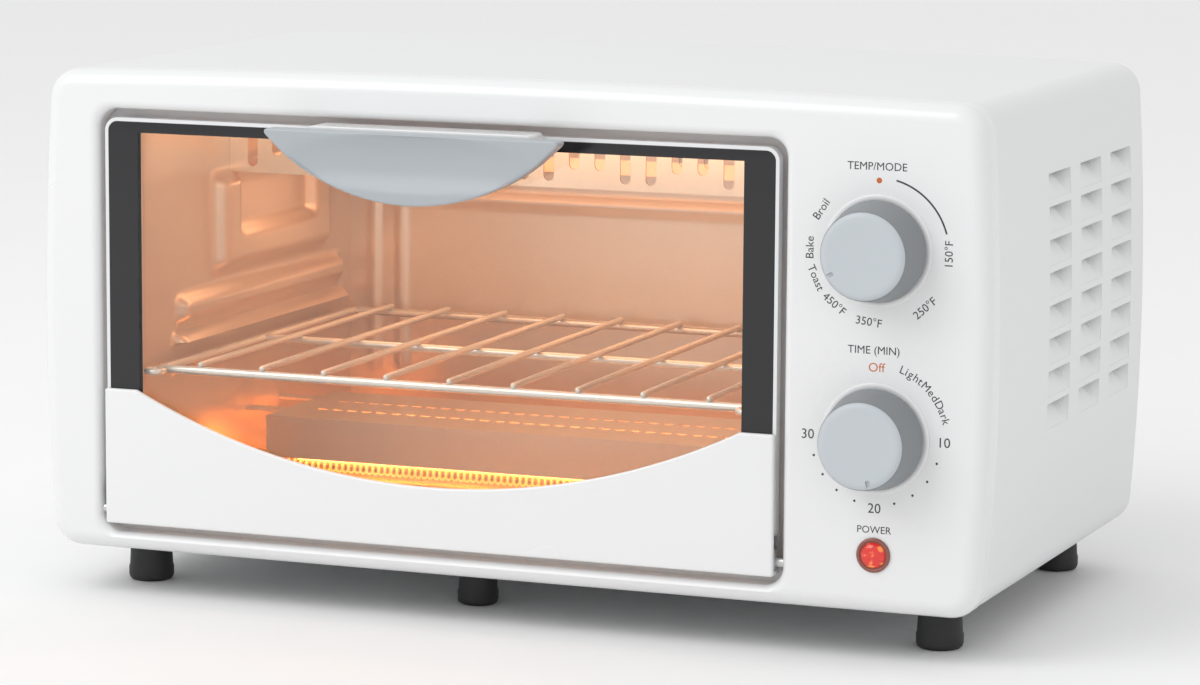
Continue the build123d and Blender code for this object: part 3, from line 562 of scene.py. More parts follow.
def body_block(name, front, back, inset, flare=0.0):
    """The body's outline between two depths, pulled in by an inset and wider at the rear."""
    half = half_body - side_bow - inset
    low, high = body_low + inset, body_high - crown - inset
    corner = body_corner - inset
    piece = rounded_block(name, (-half, at(front), low), (half, at(back), high), corner)
    slice_across(piece, 2, [low + corner + (high - low - 2 * corner) * step / 10 for step in range(1, 10)])
    slice_across(piece, 0, [(half - corner) * (step / 8 - 1) for step in range(1, 16)])
    centre = (low + high) / 2
    for level in levels_of(piece, 2):
        away = (level - centre) / ((high - low) / 2)
        wider = 1 + side_bow * (1 - away * away) / half
        pick(piece, "verts", lambda vert: abs(vert.co.z - level) < 2e-6)
        bpy.ops.transform.resize(value=(wider, 1, 1), center_override=(0, 0, 0))
        done()
    shoulder = high - corner + 1e-5
    for column in levels_of(piece, 0, above=shoulder):
        lift = crown * max(0, 1 - (column / half) ** 2)
        pick(piece, "verts", lambda vert: abs(vert.co.x - column) < 2e-6 and vert.co.z > shoulder)
        bpy.ops.transform.translate(value=(0, 0, lift))
        done()
    if flare:
        pick(piece, "verts", lambda vert: vert.co.y > at(back) - 1e-5)
        bpy.ops.transform.resize(value=(1 + flare / half, 1, 1), center_override=(0, 0, 0))
        done()
    return piece


def flatten_end(piece, y):
    """The many faces of an upright end become one face."""
    pick(piece, "faces", lambda face: abs(middle(face).y - y) < 1e-5 and abs(face.normal.y) > 0.99)
    bpy.ops.mesh.dissolve_faces()
    done()


# %% [markdown]
# ## The moulded front
# The front is a thick plastic moulding with a deep recess for the door. Its outer edge is
# rounded generously, so that the tool can let go of it, and the rim of the recess is rolled.
# The recess is cut with a plug whose mouth flares out along a quarter circle: the cut then
# leaves the rolled rim behind, with no bevel needed afterwards.

# %% Fascia
fascia_depth, front_round = 13, 6.5 * mm
recess_depth, recess_corner, mouth_corner = 9.6, 7 * mm, 4 * mm
shaft_hole, lamp_hole = 4.5 * mm, 4.75 * mm
fascia = body_block("fascia_moulding", 0, fascia_depth, 0)
flatten_end(fascia, at(0))
flatten_end(fascia, at(fascia_depth))
pick(fascia, "edges", lambda edge: all(abs(vert.co.y - at(0)) < 1e-6 for vert in edge.verts))
bpy.ops.mesh.bevel(offset=front_round, segments=7, affect="EDGES", clamp_overlap=True)
done()

recess_left, recess_right = -158.2 * mm, 108.4 * mm
recess_low, recess_top = 24.4 * mm, 182 * mm
rim = 3.2 * mm


def recess_plug(rim_radius):
    """A plug for the door recess, flared at its mouth."""
    plug_low = (recess_left, at(0) + rim_radius, recess_low)
    plug = rounded_block("plug", plug_low, (recess_right, at(recess_depth), recess_top), recess_corner)
    width, height = recess_right - recess_left, recess_top - recess_low
    centre = Vector(((recess_left + recess_right) / 2, 0, (recess_low + recess_top) / 2))
    pick(plug, "faces", lambda face: face.normal.y < -0.99)
    grown = 0.0
    for step in range(1, 8):
        turn = min(step, 6) / 6 * pi / 2
        grow = rim_radius * (1 - cos(turn))
        ahead = rim_radius * (sin(turn) - sin(turn - pi / 12)) if step < 7 else 1 * mm
        bpy.ops.mesh.extrude_region_move(TRANSFORM_OT_translate={"value": (0, -ahead, 0)})
        wider = (width + 2 * grow) / (width + 2 * grown)
        taller = (height + 2 * grow) / (height + 2 * grown)
        bpy.ops.transform.resize(value=(wider, 1, taller), center_override=centre)
        grown = grow
    done()
    return plug


cut(fascia, recess_plug(rim))
mouth_low, mouth_high = (-146 * mm, at(-2), 30 * mm), (98 * mm, at(20), 176 * mm)
cut(fascia, rounded_block("mouth", mouth_low, mouth_high, mouth_corner))


def centre_of(node):
    """The middle of a CAD node's box."""
    node_low, node_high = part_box(node)
    return (node_low + node_high) / 2


dial_x = centre_of("timer_knob").x
dial_z = {name: centre_of(f"{name}_knob").z for name in ("temperature", "timer")}
lamp_z = centre_of("power_lamp_lens").z
holes = [(dial_z["temperature"], shaft_hole), (dial_z["timer"], shaft_hole), (lamp_z, lamp_hole)]
for height, radius in holes:
    hole = turned("hole", [(0, radius), (0.02, radius)], (dial_x, at(-2), height), (0, 1, 0), 32)
    cut(fascia, hole)
finish_piece(fascia, "oven", "white_gloss_moulding", "front_fascia")

# %% [markdown]
# ## The steel wrap
# One sheet of painted steel wraps over the top and both sides. We make it as a shell: a body
# block with a smaller body block taken out, then the bottom and back opened. The sides have
# cooling louvres. Each louvre is a scoop pressed inwards, deepest along its top edge, where
# the sheet is torn open. A window is cut for every scoop, and one scoop is copied into each.

# %% Steel wrap
wrap_front, wrap_rear = 13.5, 208
outer_inset, inner_inset, flare = 0.25 * mm, 1.25 * mm, 2.1 * mm
rear_round = 6 * mm
wrap = body_block("steel_wrap", wrap_front, wrap_rear, outer_inset, flare=flare)


def rear_rim(edge):
    """True for an edge where the rear end meets the top, a side or the bottom."""
    at_rear = all(abs(vert.co.y - at(wrap_rear)) < 1e-6 for vert in edge.verts)
    beside = any(abs(face.normal.y) < 0.5 for face in edge.link_faces)
    return at_rear and beside and len(edge.link_faces) == 2


pick(wrap, "edges", rear_rim)
bpy.ops.mesh.bevel(offset=rear_round, segments=6, affect="EDGES", clamp_overlap=True)
done()
cut(wrap, body_block("inside", wrap_front - 1.5, wrap_rear - 1, inner_inset, flare=flare))
lip = 14 * mm
opening = (case_high.x - lip, at(215), body_high - lip)
cut(wrap, block("opening", (-opening[0], at(5), 0), opening))
print("wrap is cut open")

# %% Louvres
louvre_rows = [165.7 * mm - 11.84 * mm * row for row in range(8)]
louvre_columns = [at(depth) for depth in (89.0, 130.2, 171.4)]
louvre_long, louvre_tall = 28 * mm, 9.4 * mm
cut_depth = 12 * mm


def side_at(side, y, z):
    """The place and outward slope of the wrap's side."""
    _, place, normal, _ = wrap.ray_cast(Vector((side * 0.4, y, z)), Vector((-side, 0, 0)))
    return place, normal


seats = {}
for side in (-1, 1):
    for row in louvre_rows:
        for column in louvre_columns:
            seats[side, row, column] = side_at(side, column, row - louvre_tall / 2)

windows = []
for side, row, column in seats:
    low = (side * half_body - cut_depth, column - louvre_long / 2, row - louvre_tall)
    high = (side * half_body + cut_depth, column + louvre_long / 2, row)
    windows.append(block("window", low, high))
cut(wrap, join(windows, "windows"))

bpy.ops.mesh.primitive_grid_add(x_subdivisions=14, y_subdivisions=8, size=1)
scoop = bpy.context.object
scoop.name = "scoop"
scoop.scale = (louvre_long, louvre_tall, 1)
settle(scoop)
for vert in scoop.data.vertices:
    across = vert.co.x / louvre_long + 0.5
    rise = vert.co.y / louvre_tall + 0.5
    ends = max(0, min(1, across / 0.12, (1 - across) / 0.10))
    ridge = 0.9 * mm * max(0, 1 - abs(across - 0.50 - 0.34 * (1 - rise)) / 0.09) * rise * (1.2 - rise)
    sink = 6.2 * mm * rise**1.25 * (0.30 + 0.70 * across) * ends**0.6
    vert.co.z = ridge * 2.2 - sink if ends else 0
modify(scoop, "SOLIDIFY", thickness=0.5 * mm, offset=-1)
scoops = []
for (side, _, _), (place, normal) in seats.items():
    upwards = (Vector((0, 0, 1)) - normal * normal.z).normalized()
    along = upwards.cross(normal)
    frame_of = Matrix((along, upwards, normal)).transposed().to_4x4()
    frame_of.translation = place - normal * 0.15 * mm
    twin = scoop.copy()
    twin.data = scoop.data.copy()
    bpy.context.scene.collection.objects.link(twin)
    if side < 0:
        take(twin)
        bpy.ops.object.mode_set(mode="EDIT")
        bpy.ops.mesh.select_all(action="SELECT")
        bpy.ops.transform.resize(value=(-1, 1, 1), center_override=(0, 0, 0))
        bpy.ops.mesh.normals_make_consistent(inside=False)
        done()
    twin.matrix_world = frame_of
    scoops.append(settle(twin))
bpy.data.objects.remove(scoop)
wrap = join([wrap, *scoops], "steel_wrap")
finish_piece(wrap, "oven", "white_painted_steel", "outer_case", angle=30)

# %% [markdown]
# ## The door
# The pane is one sheet of glass. Its border is enamelled black, so the sheet is sliced where
# the clear window begins, and the faces outside those slices get a second finish. Below it
# sits a white panel whose upper edge is an arc: a very large cylinder cuts it in one go.

# %% Door glass
glass_low, glass_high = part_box("door_glass")
pane = block("glass_pane", glass_low, glass_high)
pick(
    pane, "edges",
    lambda edge: abs(edge.verts[0].co.y - edge.verts[1].co.y) > 1e-4 and middle(edge).z > glass_high.z - 1e-4,
)
bpy.ops.mesh.bevel(offset=3.7 * mm, segments=6, affect="EDGES")
done()
soften(pane, 0.4 * mm, 2, 60)
window_left, window_right, window_top = -142.3 * mm, 92.9 * mm, 173.5 * mm
slice_across(pane, 0, [window_left, window_right])
slice_across(pane, 2, [window_top])
dress(pane, "oven_glass", "black_enamel")
for face in pane.data.polygons:
    inside = window_left < face.center.x < window_right and face.center.z < window_top
    face.material_index = 0 if inside else 1
finish_piece(pane, "door", "oven_glass", "door_glass", dressed=True)

# %% Lower panel
panel_low, panel_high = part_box("door_lower_panel")
panel_back = glass_low.y - 0.05 * mm
panel = block("lower_panel", panel_low, (panel_high.x, panel_back, panel_high.z))
shoulder, dip = 12.8 * mm, 28 * mm
half_chord = (panel_high.x - panel_low.x) / 2 - shoulder
arc_radius = (half_chord**2 + dip**2) / (2 * dip)
door_middle = (panel_low.x + panel_high.x) / 2
arc_centre = (door_middle, at(-10), panel_high.z - dip + arc_radius)
cut(panel, turned("arc", [(0, arc_radius), (0.03, arc_radius)], arc_centre, (0, 1, 0), 720))
slice_across(panel, 2, [panel_low.z + 2 * mm])
pick(panel, "faces", lambda face: face.normal.y > 0.9 and middle(face).z < panel_low.z + 2 * mm)
bpy.ops.mesh.extrude_region_move(TRANSFORM_OT_translate={"value": (0, panel_high.y - panel_back, 0)})
done()
soften(panel, 0.9 * mm, 3, 50)
finish_piece(panel, "door", "white_gloss_moulding", "door_lower_panel", angle=50)

# %% [markdown]
# ## The handle
# The grip is a slice of a disc with a shallow dish for the fingertips. After the disc is cut
# and its edges are rounded, its face is sliced into a fine grid. Then the points of the face
# sink by an amount that fades out towards an oval, which gives a soft dish with no rim.

# %% Handle
grip_low, grip_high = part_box("door_handle")
half_width = (grip_high.x - grip_low.x) / 2
drop = grip_high.z - grip_low.z
grip_radius = (half_width**2 + drop**2) / (2 * drop)
thick = grip_high.y - grip_low.y
centre = Vector((door_middle, grip_low.y, grip_low.z + grip_radius))
grip = turned("grip", [(0, grip_radius), (thick, grip_radius)], centre, (0, 1, 0), 256)
pick(grip, "faces", lambda face: True)
bpy.ops.mesh.bisect(plane_co=(0, 0, grip_high.z), plane_no=(0, 0, 1), use_fill=True, clear_outer=True)
done()


def across_edge(edge):
    """True for an edge that runs through the grip's thickness."""
    return abs(edge.verts[0].co.y - edge.verts[1].co.y) > 1e-4


chord_end = max(abs(vert.co.x - door_middle) for vert in grip.data.vertices)
pick(
    grip, "edges",
    lambda edge: across_edge(edge) and middle(edge).z < grip_high.z - 1e-5
    and abs(middle(edge).x - door_middle) > chord_end - 8 * mm,
)
bpy.ops.mesh.dissolve_edges(use_verts=True)
done()
pick(grip, "edges", lambda edge: across_edge(edge) and middle(edge).z > grip_high.z - 1e-5)
bpy.ops.mesh.bevel(offset=4.2 * mm, segments=8, affect="EDGES")
done()
soften(grip, 1.5 * mm, 4, 50)
slice_across(grip, 0, [grip_low.x + (grip_high.x - grip_low.x) * step / 48 for step in range(1, 48)])
slice_across(grip, 2, [grip_low.z + drop * step / 14 for step in range(1, 14)])
for vert in grip.data.vertices:
    if vert.co.y < grip_low.y + 1e-5:
        across = (vert.co.x - door_middle) / (50 * mm)
        rise = (vert.co.z - (grip_high.z - 10.5 * mm)) / (10.5 * mm)
        fade = max(0, 1 - across * across - rise * rise)
        vert.co.y += 3.4 * mm * fade
finish_piece(grip, "door", "grey_handle", "door_handle", angle=40)

# %% Handle tab
tab_low, tab_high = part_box("handle_tab")
tab = rounded_block("handle_tab_piece", tab_low, tab_high, 2 * mm, 4)
soften(tab, 0.5 * mm, 2, 60)
finish_piece(tab, "door", "white_gloss_moulding", "handle_tab", angle=50)

# %% [markdown]
# ## Dials and lamp
# The knobs are lathe work: a list of rings, each a distance from the wall and a radius. A small
# notch in the rim is the pointer. The thin collar behind each knob has a soft rounded edge.

# %% Knobs
knob_profile = [
    (0.9, 16.6), (1.0, 17.2), (1.4, 17.6), (2.2, 17.75), (4.0, 17.5), (9.0, 16.7), (14.0, 15.95),
    (16.6, 15.5), (17.5, 15.1), (18.1, 14.5), (18.45, 13.7), (18.55, 12.8), (18.45, 11.6), (18.2, 7.0),
    (18.15, 1.0),
]
collar_profile = [
    (0.03, 19.4), (0.2, 19.55), (0.4, 19.5), (0.55, 19.2), (0.6, 18.8), (0.6, 18.0), (0.3, 17.6), (0.25, 4.5),
]
pointer = {"temperature": radians(239), "timer": radians(165)}
for name, height in dial_z.items():
    axis = Vector((dial_x, at(0), height))
    knob = lathe(f"{name}_dial_grip", knob_profile, axis, (0, -1, 0), 96)
    turn = pointer[name]
    towards = Vector((sin(turn), 0, cos(turn)))
    bpy.ops.mesh.primitive_cube_add(size=1, location=axis + towards * 14.2 * mm + Vector((0, -18.6 * mm, 0)))
    notch = bpy.context.object
    notch.rotation_euler = (0, turn, 0)
    notch.scale = (1.5 * mm, 1.7 * mm, 4.6 * mm)
    settle(notch)
    soften(notch, 0.5 * mm, 3, 60)
    cut(knob, notch)
    # Faces turned sideways or lying near the wall get the darker copy of the knob finish: painted shade on
    # the knob's sides.
    dress(knob, "grey_knob", "knob_side_painted_shade")
    for face in knob.data.polygons:
        face.material_index = int(abs(face.normal.y) < 0.6 or face.center.y > at(-16))
    finish_piece(knob, f"{name}_dial", "grey_knob", f"{name}_knob", angle=40, dressed=True)
    collar = lathe(f"{name}_collar", collar_profile, axis, (0, -1, 0), 96)
    finish_piece(collar, "oven", "white_gloss_moulding", f"{name}_dial_collar", angle=60)

# %% Power lamp
lamp = Vector((dial_x, at(0), lamp_z))
lens_profile = [
    (-6.5, 3.4), (-6.5, 4.6), (0.3, 4.6), (0.9, 4.3), (1.4, 3.8), (1.8, 3.0), (2.05, 2.0), (2.15, 0.8)
]
lens = lathe("lamp_dome", lens_profile, lamp, (0, -1, 0), 14)
finish_piece(lens, "oven", "red_lens", "power_lamp_lens", angle=20)
bezel_profile = [(0.05, 6.1), (0.45, 6.15), (0.8, 5.9), (0.9, 5.5), (0.85, 5.0), (0.4, 4.76)]
bezel = lathe("lamp_ring", bezel_profile, lamp, (0, -1, 0))
finish_piece(bezel, "oven", "lamp_bezel", "power_lamp_bezel", angle=60)

# %% [markdown]
# ## Printed dials
# The legends are printed on the plastic, so they stand a few hundredths of a millimetre proud.
# Each word is a text object turned to its angle round the dial. It is made a mesh before it is
# moved, because the move must land in the mesh itself. Dots are small turned discs, and the
# thin arc is a strip swept by the spin operator.

# %% Lettering
prints = []
orange_prints = []


def placed_print(piece, centre, turn):
    """Turn a flat print to face the front and set it on the moulding."""
    piece.rotation_euler = (pi / 2, 0, 0)
    settle(piece)
    take(piece)
    piece.matrix_world = Matrix.Translation(centre) @ Matrix.Rotation(turn, 4, "Y")
    return settle(piece)


def word(text, centre, size, turn=0.0):
    """A printed word, centred on a place."""
    bpy.ops.object.text_add()
    letters = bpy.context.object
    letters.data.body = text
    letters.data.size = size
    letters.data.align_x = "CENTER"
    letters.data.align_y = "CENTER"
    letters.data.extrude = 0.02 * mm
    letters.data.resolution_u = 3
    take(letters)
    bpy.ops.object.convert(target="MESH")
    return placed_print(bpy.context.object, centre, turn)


def around(axis_z, radius, degrees):
    """A place on the moulding, at an angle clockwise from the top of a dial."""
    turn = radians(degrees)
    return Vector((dial_x + radius * sin(turn), at(0) - 0.02 * mm, axis_z + radius * cos(turn)))


letter_width = {"i": 0.45, "l": 0.45, "t": 0.6, "r": 0.65, "M": 1.4}


def curved_word(text, axis_z, radius, start, size, spread):
    """Letters set one by one along a circle, closer together where they are narrow."""
    made = []
    angle = start
    for letter, following in zip(text, text[1:] + " "):
        made.append(word(letter, around(axis_z, radius, angle), size, radians(angle)))
        angle += spread * (letter_width.get(letter, 1) + letter_width.get(following, 1)) / 2
    return made


small = 4.1 * mm
temp_z, timer_z = dial_z["temperature"], dial_z["timer"]
prints.append(word("TEMP/MODE", around(temp_z, 29 * mm, 0) - Vector((0.8 * mm, 0, 0)), 3.9 * mm))
prints.append(word("TIME (MIN)", around(timer_z, 30.7 * mm, 0) - Vector((1.0 * mm, 0, 0)), 3.9 * mm))
prints.append(word("POWER", (dial_x, at(0) - 0.02 * mm, lamp_z + 8.8 * mm), 3.6 * mm))
dial_words = [
    ("150°F", 25.4, 90, -90), ("250°F", 25.6, 138, -42), ("350°F", 25.0, 187, 7), ("450°F", 24.8, 219, 39),
    ("Toast", 24.8, 245, 65), ("Bake", 24.6, 270, -90), ("Broil", 24.6, 303, -57),
]
for text, radius, degrees, lean in dial_words:
    prints.append(word(text, around(temp_z, radius * mm, degrees), small, radians(lean)))
for text, start in (("Light", 21), ("Med", 43), ("Dark", 60)):
    prints += curved_word(text, timer_z, 26.2 * mm, start, small, 5.0)
for text, degrees in (("10", 90), ("20", 180), ("30", 270)):
    prints.append(word(text, around(timer_z, 24.6 * mm, degrees), 4.9 * mm))
orange_prints.append(word("Off", around(timer_z, 24.7 * mm, 0), 4.5 * mm))
print("words printed:", len(prints))

# %% Dots and arc
for degrees in (108, 126, 144, 162, 198, 216, 234, 252):
    centre = around(timer_z, 23.4 * mm, degrees)
    prints.append(lathe("dot", [(0, 0.45), (0.02, 0.42)], centre, (0, -1, 0), 16))
off_place = around(temp_z, 24.3 * mm, 0)
orange_prints.append(lathe("off_dot", [(0, 1.0), (0.02, 0.96)], off_place, (0, -1, 0), 24))

bpy.ops.mesh.primitive_plane_add(size=1, location=(dial_x, at(0) - 0.04 * mm, temp_z + 25.3 * mm))
arc = bpy.context.object
arc.scale = (0.02 * mm, 0.6 * mm, 1)
arc.rotation_euler = (pi / 2, 0, 0)
settle(arc)
pick(arc, "verts", lambda vert: vert.co.x < dial_x)
bpy.ops.mesh.delete(type="VERT")
done()
pick(arc, "verts", lambda vert: True)
axis = (dial_x, at(0), temp_z)
bpy.ops.transform.rotate(value=radians(-14), orient_axis="Y", center_override=axis)
bpy.ops.mesh.spin(steps=40, angle=radians(-60), center=axis, axis=(0, 1, 0))
done()
modify(arc, "SOLIDIFY", thickness=0.04 * mm, offset=0)
prints.append(arc)
ends = [[round(value, 4) for value in arc.bound_box[corner]] for corner in (0, 6)]
print("arc from", ends[0], "to", ends[1])

for name, pieces in (("dial_print", prints), ("dial_print_orange", orange_prints)):
    joined = join(pieces, name)
    dress(joined, name)
    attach(joined, "oven")
    print(name, "has", len(joined.data.polygons), "faces")

# %% [markdown]
# ## Inside the cavity
# The side walls are pressed sheet. Below, the press leaves a low ledge that carries the rack
# and a rib above it; higher up, a wide U-shaped channel stiffens the wall. A fine grid stands
# in for the flat sheet, and its points are pushed inwards by soft steps, the way a press tool
# does it. Solidify then gives the sheet its thickness, and the heater holes are cut last.

# %% Pressed walls
def step_up(value, edge, soft):
    """0 below an edge, 1 above it, with a soft change between."""
    along = min(1, max(0, (value - edge) / soft + 0.5))
    return along * along * (3 - 2 * along)


def band(value, low, high, soft):
    """1 between two limits and 0 outside them."""
    return step_up(value, low, soft) * (1 - step_up(value, high, soft))


def pressing(depth, height):
    """How far the wall is pressed in, in millimetres, at a depth and height in millimetres."""
    ledge = band(depth, 37, 187, 5) * band(height, 80.2, 82.4, 1.2)
    keeper = band(depth, 37, 187, 5) * band(height, 90.6, 93.0, 1.2)
    rib = band(depth, 40, 184, 7) * band(height, 98.5, 107.0, 4.0)
    hollow = band(depth, 88, 154, 6) * (1 - step_up(height, 150, 9))
    arms = 1 - hollow * step_up(height, 128, 5)
    channel = band(depth, 72, 170, 8) * band(height, 115, 150, 5) * arms
    return max(5.8 * ledge, 5.4 * keeper, 4.2 * rib, 5.2 * channel)


def pressed_wall(name, node, inward):
    """A cavity side: a grid pushed in by the press, then given its thickness."""
    low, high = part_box(node)
    inner = low.x + 1 * mm if inward > 0 else high.x - 1 * mm
    upright = (pi / 2, 0, pi / 2)
    bpy.ops.mesh.primitive_grid_add(x_subdivisions=104, y_subdivisions=92, size=1, rotation=upright)
    wall = bpy.context.object
    wall.name = name
    settle(wall)
    wall.scale = (1, high.y - low.y, high.z - low.z)
    wall.location = (inner, (low.y + high.y) / 2, (low.z + high.z) / 2)
    settle(wall)
    for vert in wall.data.vertices:
        reach = pressing((vert.co.y - front_face) / mm, vert.co.z / mm)
        vert.co.x += inward * reach * mm
    modify(wall, "SOLIDIFY", thickness=0.9 * mm, offset=-inward)
    return wall


heaters = {name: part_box(name) for name in frame["nodes"] if name.endswith("quartz_tube")}
for side, inward in (("left", 1), ("right", -1)):
    wall = pressed_wall(f"{side}_pressed_wall", f"cavity_{side}_wall", inward)
    low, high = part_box(f"cavity_{side}_wall")
    for tube_low, tube_high in heaters.values():
        centre = Vector((low.x - 2 * mm, (tube_low.y + tube_high.y) / 2, (tube_low.z + tube_high.z) / 2))
        across = high.x - low.x + 4 * mm
        cut(wall, turned("hole", [(0, 5.4 * mm), (across, 5.4 * mm)], centre, (1, 0, 0), 32))
    finish_piece(wall, "oven", "cavity_steel", f"cavity_{side}_wall", angle=50)


# %% Back wall
def back_pressing(x, z):
    """How far the rear sheet stands forward, at a place in millimetres."""
    crease = band(z, 129.5, 133, 2.0) * band(x, -126, 88, 4)
    posts = band(x, -137, -133.5, 2.0) + band(x, -124.5, -121, 2.0)
    return 1.1 * max(crease, min(1, posts) * band(z, 60, 165, 6))


low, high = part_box("cavity_back_wall")
bpy.ops.mesh.primitive_grid_add(x_subdivisions=150, y_subdivisions=70, size=1, rotation=(pi / 2, 0, 0))
rear_wall = bpy.context.object
rear_wall.name = "rear_pressed_wall"
settle(rear_wall)
rear_wall.scale = (high.x - low.x, 1, high.z - low.z)
rear_wall.location = ((low.x + high.x) / 2, high.y - 1 * mm, (low.z + high.z) / 2)
settle(rear_wall)
for vert in rear_wall.data.vertices:
    vert.co.y -= back_pressing(vert.co.x / mm, vert.co.z / mm) * mm
modify(rear_wall, "SOLIDIFY", thickness=0.9 * mm, offset=-1)
finish_piece(rear_wall, "oven", "cavity_steel", "cavity_back_wall", angle=50)

# %% [markdown]
# ## The coils
# A heater is a wire wound into a long spring inside a quartz tube. The Screw modifier winds a
# small ring along the tube: one turn of the modifier for each turn of wire. Few faces are
# enough, since each heater has over a hundred turns.

# %% Coils
turns = 104
for name, (tube_low, tube_high) in heaters.items():
    coil_name = name.replace("quartz_tube", "heating_coil")
    coil_low, coil_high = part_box(coil_name)
    centre = (coil_low + coil_high) / 2
    long = coil_high.x - coil_low.x - 1.2 * mm
    wire = 0.42 * mm
    bpy.ops.mesh.primitive_circle_add(
        vertices=6, radius=wire, location=(2.2 * mm - wire, 0, 0), rotation=(pi / 2, 0, 0)
    )
    coil = settle(bpy.context.object)
    coil.name = coil_name.replace("heating_coil", "wound_coil")
    modify(coil, "SCREW", angle=2 * pi * turns, screw_offset=long, iterations=1, steps=14 * turns,
           axis="Z", use_merge_vertices=False)
    coil.rotation_euler = (0, pi / 2, 0)
    settle(coil)
    coil.location = (coil_low.x + 0.6 * mm, centre.y, centre.z)
    settle(coil)
    pick(coil, "edges", lambda edge: edge.is_boundary)
    bpy.ops.mesh.edge_face_add()
    bpy.ops.mesh.select_all(action="SELECT")
    bpy.ops.mesh.normals_make_consistent(inside=False)
    done()
    finish_piece(coil, "oven", "glowing_coil", coil_name, angle=60)

# %% [markdown]
# ## The rack
# Nine long wires are welded on top of three cross rails and two side rails. Each rod is turned
# with rounded ends, because cut and tumbled wire has no sharp corners. One long wire is made
# and then copied across.

# %% Rack
def rod(name, start, end, radius, sides=20):
    """A round wire with soft ends."""
    start, end = Vector(start), Vector(end)
    long = (end - start).length
    cap = [(radius * (1 - cos(turn)), radius * sin(turn)) for turn in (0.25, 0.6, 1.0, pi / 2)]
    rings = cap + [(long - distance, width) for distance, width in reversed(cap)]
    return turned(name, rings, start, (end - start).normalized(), sides)


rack_low, rack_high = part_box("wire_rack")
rail_radius, wire_radius = 1.6 * mm, 1.2 * mm
rail_z = rack_low.z + rail_radius
left, right_side = rack_low.x + rail_radius, rack_high.x - rail_radius
front, rear = rack_low.y + rail_radius, rack_high.y - rail_radius
rods = []
for y in (front, (front + rear) / 2, rear):
    rods.append(rod("rail", (rack_low.x, y, rail_z), (rack_high.x, y, rail_z), rail_radius))
for x in (left, right_side):
    rods.append(rod("rail", (x, front - rail_radius, rail_z), (x, rear + rail_radius, rail_z), rail_radius))
wire_z = rack_high.z - wire_radius
first = (left + right_side) / 2 - 100 * mm
long_wire = rod("wire", (first, front - 1.5 * mm, wire_z), (first, rear + 1.5 * mm, wire_z), wire_radius)
rods.append(long_wire)
for step in range(1, 9):
    rods.append(copy_of(long_wire, "wire", (25 * mm * step, 0, 0)))
finish_piece(join(rods, "rack_rods"), "rack", "bright_wire", "wire_rack", angle=60)

# %% [markdown]
# ## Feet and screws
# The feet are soft rubber turnings with a slightly wider base and a recess for the screw. The
# screws are pan heads with a cross recess: one head is turned, its cross is cut with two thin
# blocks, and copies are set wherever the frame has a screw.

# %% Feet
for name in [name for name in frame["nodes"] if name.startswith("foot_") and name != "foot_screws"]:
    low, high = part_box(name)
    radius = (high.x - low.x) / 2
    centre = Vector(((low.x + high.x) / 2, (low.y + high.y) / 2, 0))
    rings = [
        (7.0 * mm, 3.4 * mm), (0.6 * mm, 3.7 * mm), (0.0, 4.3 * mm), (0.0, radius - 2.0 * mm),
        (0.25 * mm, radius - 1.1 * mm), (0.9 * mm, radius - 0.35 * mm), (2.0 * mm, radius),
        (5.0 * mm, radius), (6.0 * mm, radius - 0.35 * mm), (14.0 * mm, radius - 0.7 * mm),
        (high.z, radius - 0.8 * mm),
    ]
    foot = turned(name.replace("foot_", "rubber_foot_"), rings, centre, (0, 0, 1), 48)
    finish_piece(foot, "oven", "black_rubber", name, angle=45)

# %% Screws
def pan_head(seat, outward):
    """A cross-headed pan screw whose head stands out from its seat."""
    profile = [(-4.0, 1.4), (0.0, 1.45), (0.0, 3.15), (0.7, 3.1), (1.3, 2.75), (1.75, 2.0), (1.95, 1.0)]
    head = lathe("screw", profile, seat, outward, 24)
    outward = Vector(outward)
    for turn in (pi / 4, 3 * pi / 4):
        bpy.ops.mesh.primitive_cube_add(size=1)
        blade = bpy.context.object
        blade.scale = (0.8 * mm, 3.4 * mm, 2.2 * mm)
        settle(blade)
        blade.rotation_euler = (0, 0, turn)
        settle(blade)
        blade.rotation_euler = outward.to_track_quat("Z", "Y").to_euler()
        blade.location = Vector(seat) + outward * 2.1 * mm
        settle(blade)
        cut(head, blade)
    return head


def solids_of(node):
    """The middle of every loose part of a CAD node, found on a merged copy."""
    mesh = bmesh.new()
    mesh.from_mesh(frame["nodes"][node].data)
    bmesh.ops.remove_doubles(mesh, verts=mesh.verts, dist=1e-6)
    left_over = set(mesh.verts)
    places = []
    while left_over:
        queue, found = [left_over.pop()], []
        while queue:
            vert = queue.pop()
            found.append(vert.co.copy())
            linked = {edge.other_vert(vert) for edge in vert.link_edges} & left_over
            left_over -= linked
            queue += linked
        spans = [(min(co[axis] for co in found), max(co[axis] for co in found)) for axis in range(3)]
        places.append(spans)
    mesh.free()
    return places


head_height = 2 * mm
screw_sets = {
    "back_screws": ("oven", (0, 1, 0)), "foot_screws": ("oven", (0, 0, -1)),
    "handle_screws": ("door", (0, 1, 0)), "door_panel_screws": ("door", (0, 1, 0)),
}
for node, (body, outward) in screw_sets.items():
    heads = []
    for (x0, x1), (y0, y1), (z0, z1) in solids_of(node):
        middle_of = Vector(((x0 + x1) / 2, (y0 + y1) / 2, (z0 + z1) / 2))
        seat = middle_of
        if outward[1]:
            seat.y = y1 - head_height
        else:
            seat.z = z0 + head_height
        heads.append(pan_head(seat, outward) if not heads else copy_of(heads[0], "screw", seat - first_seat))
        if len(heads) == 1:
            first_seat = seat
    finish_piece(join(heads, node.replace("_screws", "_pan_heads")), body, "zinc_screw", node, angle=35)

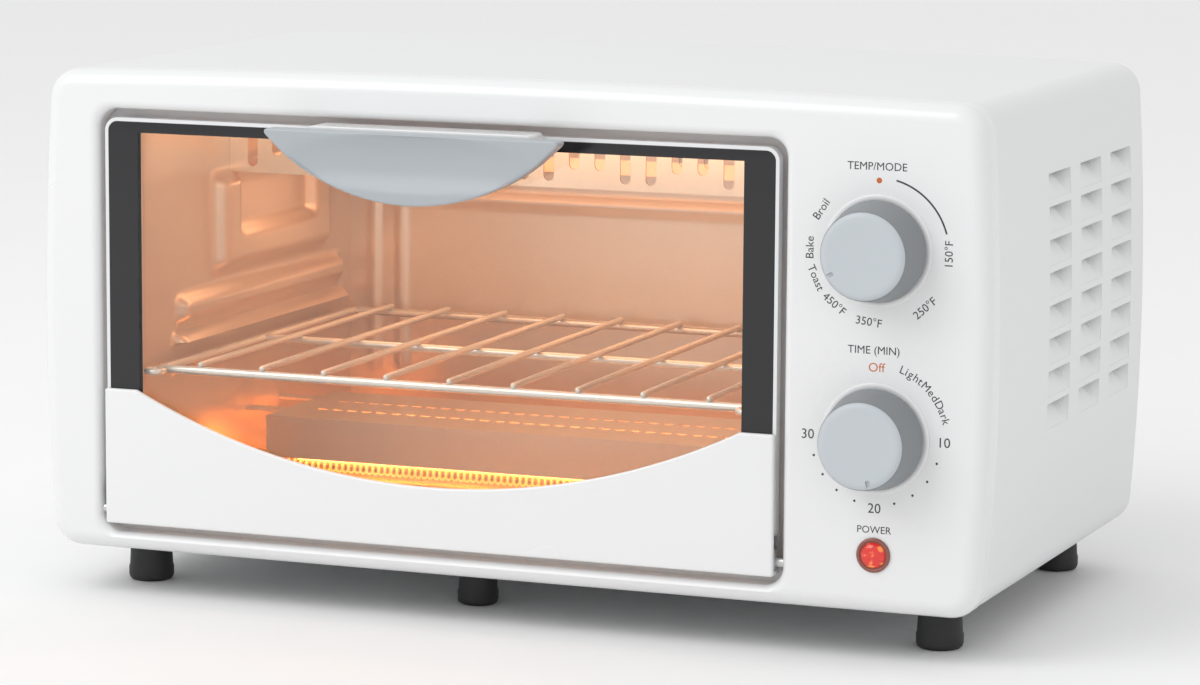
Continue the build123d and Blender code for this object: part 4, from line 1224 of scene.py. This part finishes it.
# %% [markdown]
# ## Floor and light
# The floor is a wide pale sheet with a very slight grain. Light comes from a big soft panel at
# the upper left front and from a pale sky all round. Small warm lamps inside the cavity add
# the light that the glowing coils throw on the walls.

# %% Floor
bpy.ops.mesh.primitive_grid_add(x_subdivisions=8, y_subdivisions=8, size=8, location=(0, 0.5, 0))
floor = settle(bpy.context.object)
floor.name = "floor_sheet"
floor.data.materials.append(
    surface("floor_paper", (0.93, 0.93, 0.93), (0.91, 0.91, 0.91), 0.7, 0.05, 300, 0.00002)
)

# %% Studio light
world = bpy.data.worlds.new("studio")
bpy.context.scene.world = world
world.use_nodes = True
world.node_tree.nodes["Background"].inputs["Color"].default_value = (1, 1, 1, 1)
world.node_tree.nodes["Background"].inputs["Strength"].default_value = 0.86
bpy.context.scene.view_settings.view_transform = "Standard"


def panel_light(name, place, target, size, power, colour=(1, 1, 1), seen=True):
    """A square soft light aimed at a point."""
    towards = Vector(target) - Vector(place)
    aim = towards.to_track_quat("-Z", "Y").to_euler()
    bpy.ops.object.light_add(type="AREA", location=place, rotation=aim)
    light = bpy.context.object
    light.name = name
    light.data.shape = "RECTANGLE"
    light.data.size, light.data.size_y = size
    light.data.energy = power
    light.data.color = colour
    light.visible_camera = seen
    return light


panel_light("key", (-0.9, -1.3, 1.5), (0, 0, 0.1), (1.4, 1.4), 15)
warm = (1.0, 0.56, 0.30)
glow_lights = [
    ("upper_glow", (118, 150), (118, 60), (0.23, 0.05), 0.09, warm),
    ("inside_upper_guard", (118, 156), (118, 190), (0.23, 0.05), 0.03, (1.0, 0.36, 0.09)),
    ("lower_glow", (100, 45), (80, 15), (0.21, 0.03), 0.28, (1.0, 0.36, 0.08)),
    ("front_fill", (14, 168), (190, 95), (0.22, 0.02), 0.06, (1.0, 0.70, 0.48)),
]
for name, (depth, height), (far, level), size, power, colour in glow_lights:
    middle_x = (rack_low.x + rack_high.x) / 2
    place, target = (middle_x, at(depth), height * mm), (middle_x, at(far), level * mm)
    panel_light(name, place, target, size, power, colour, seen=False)
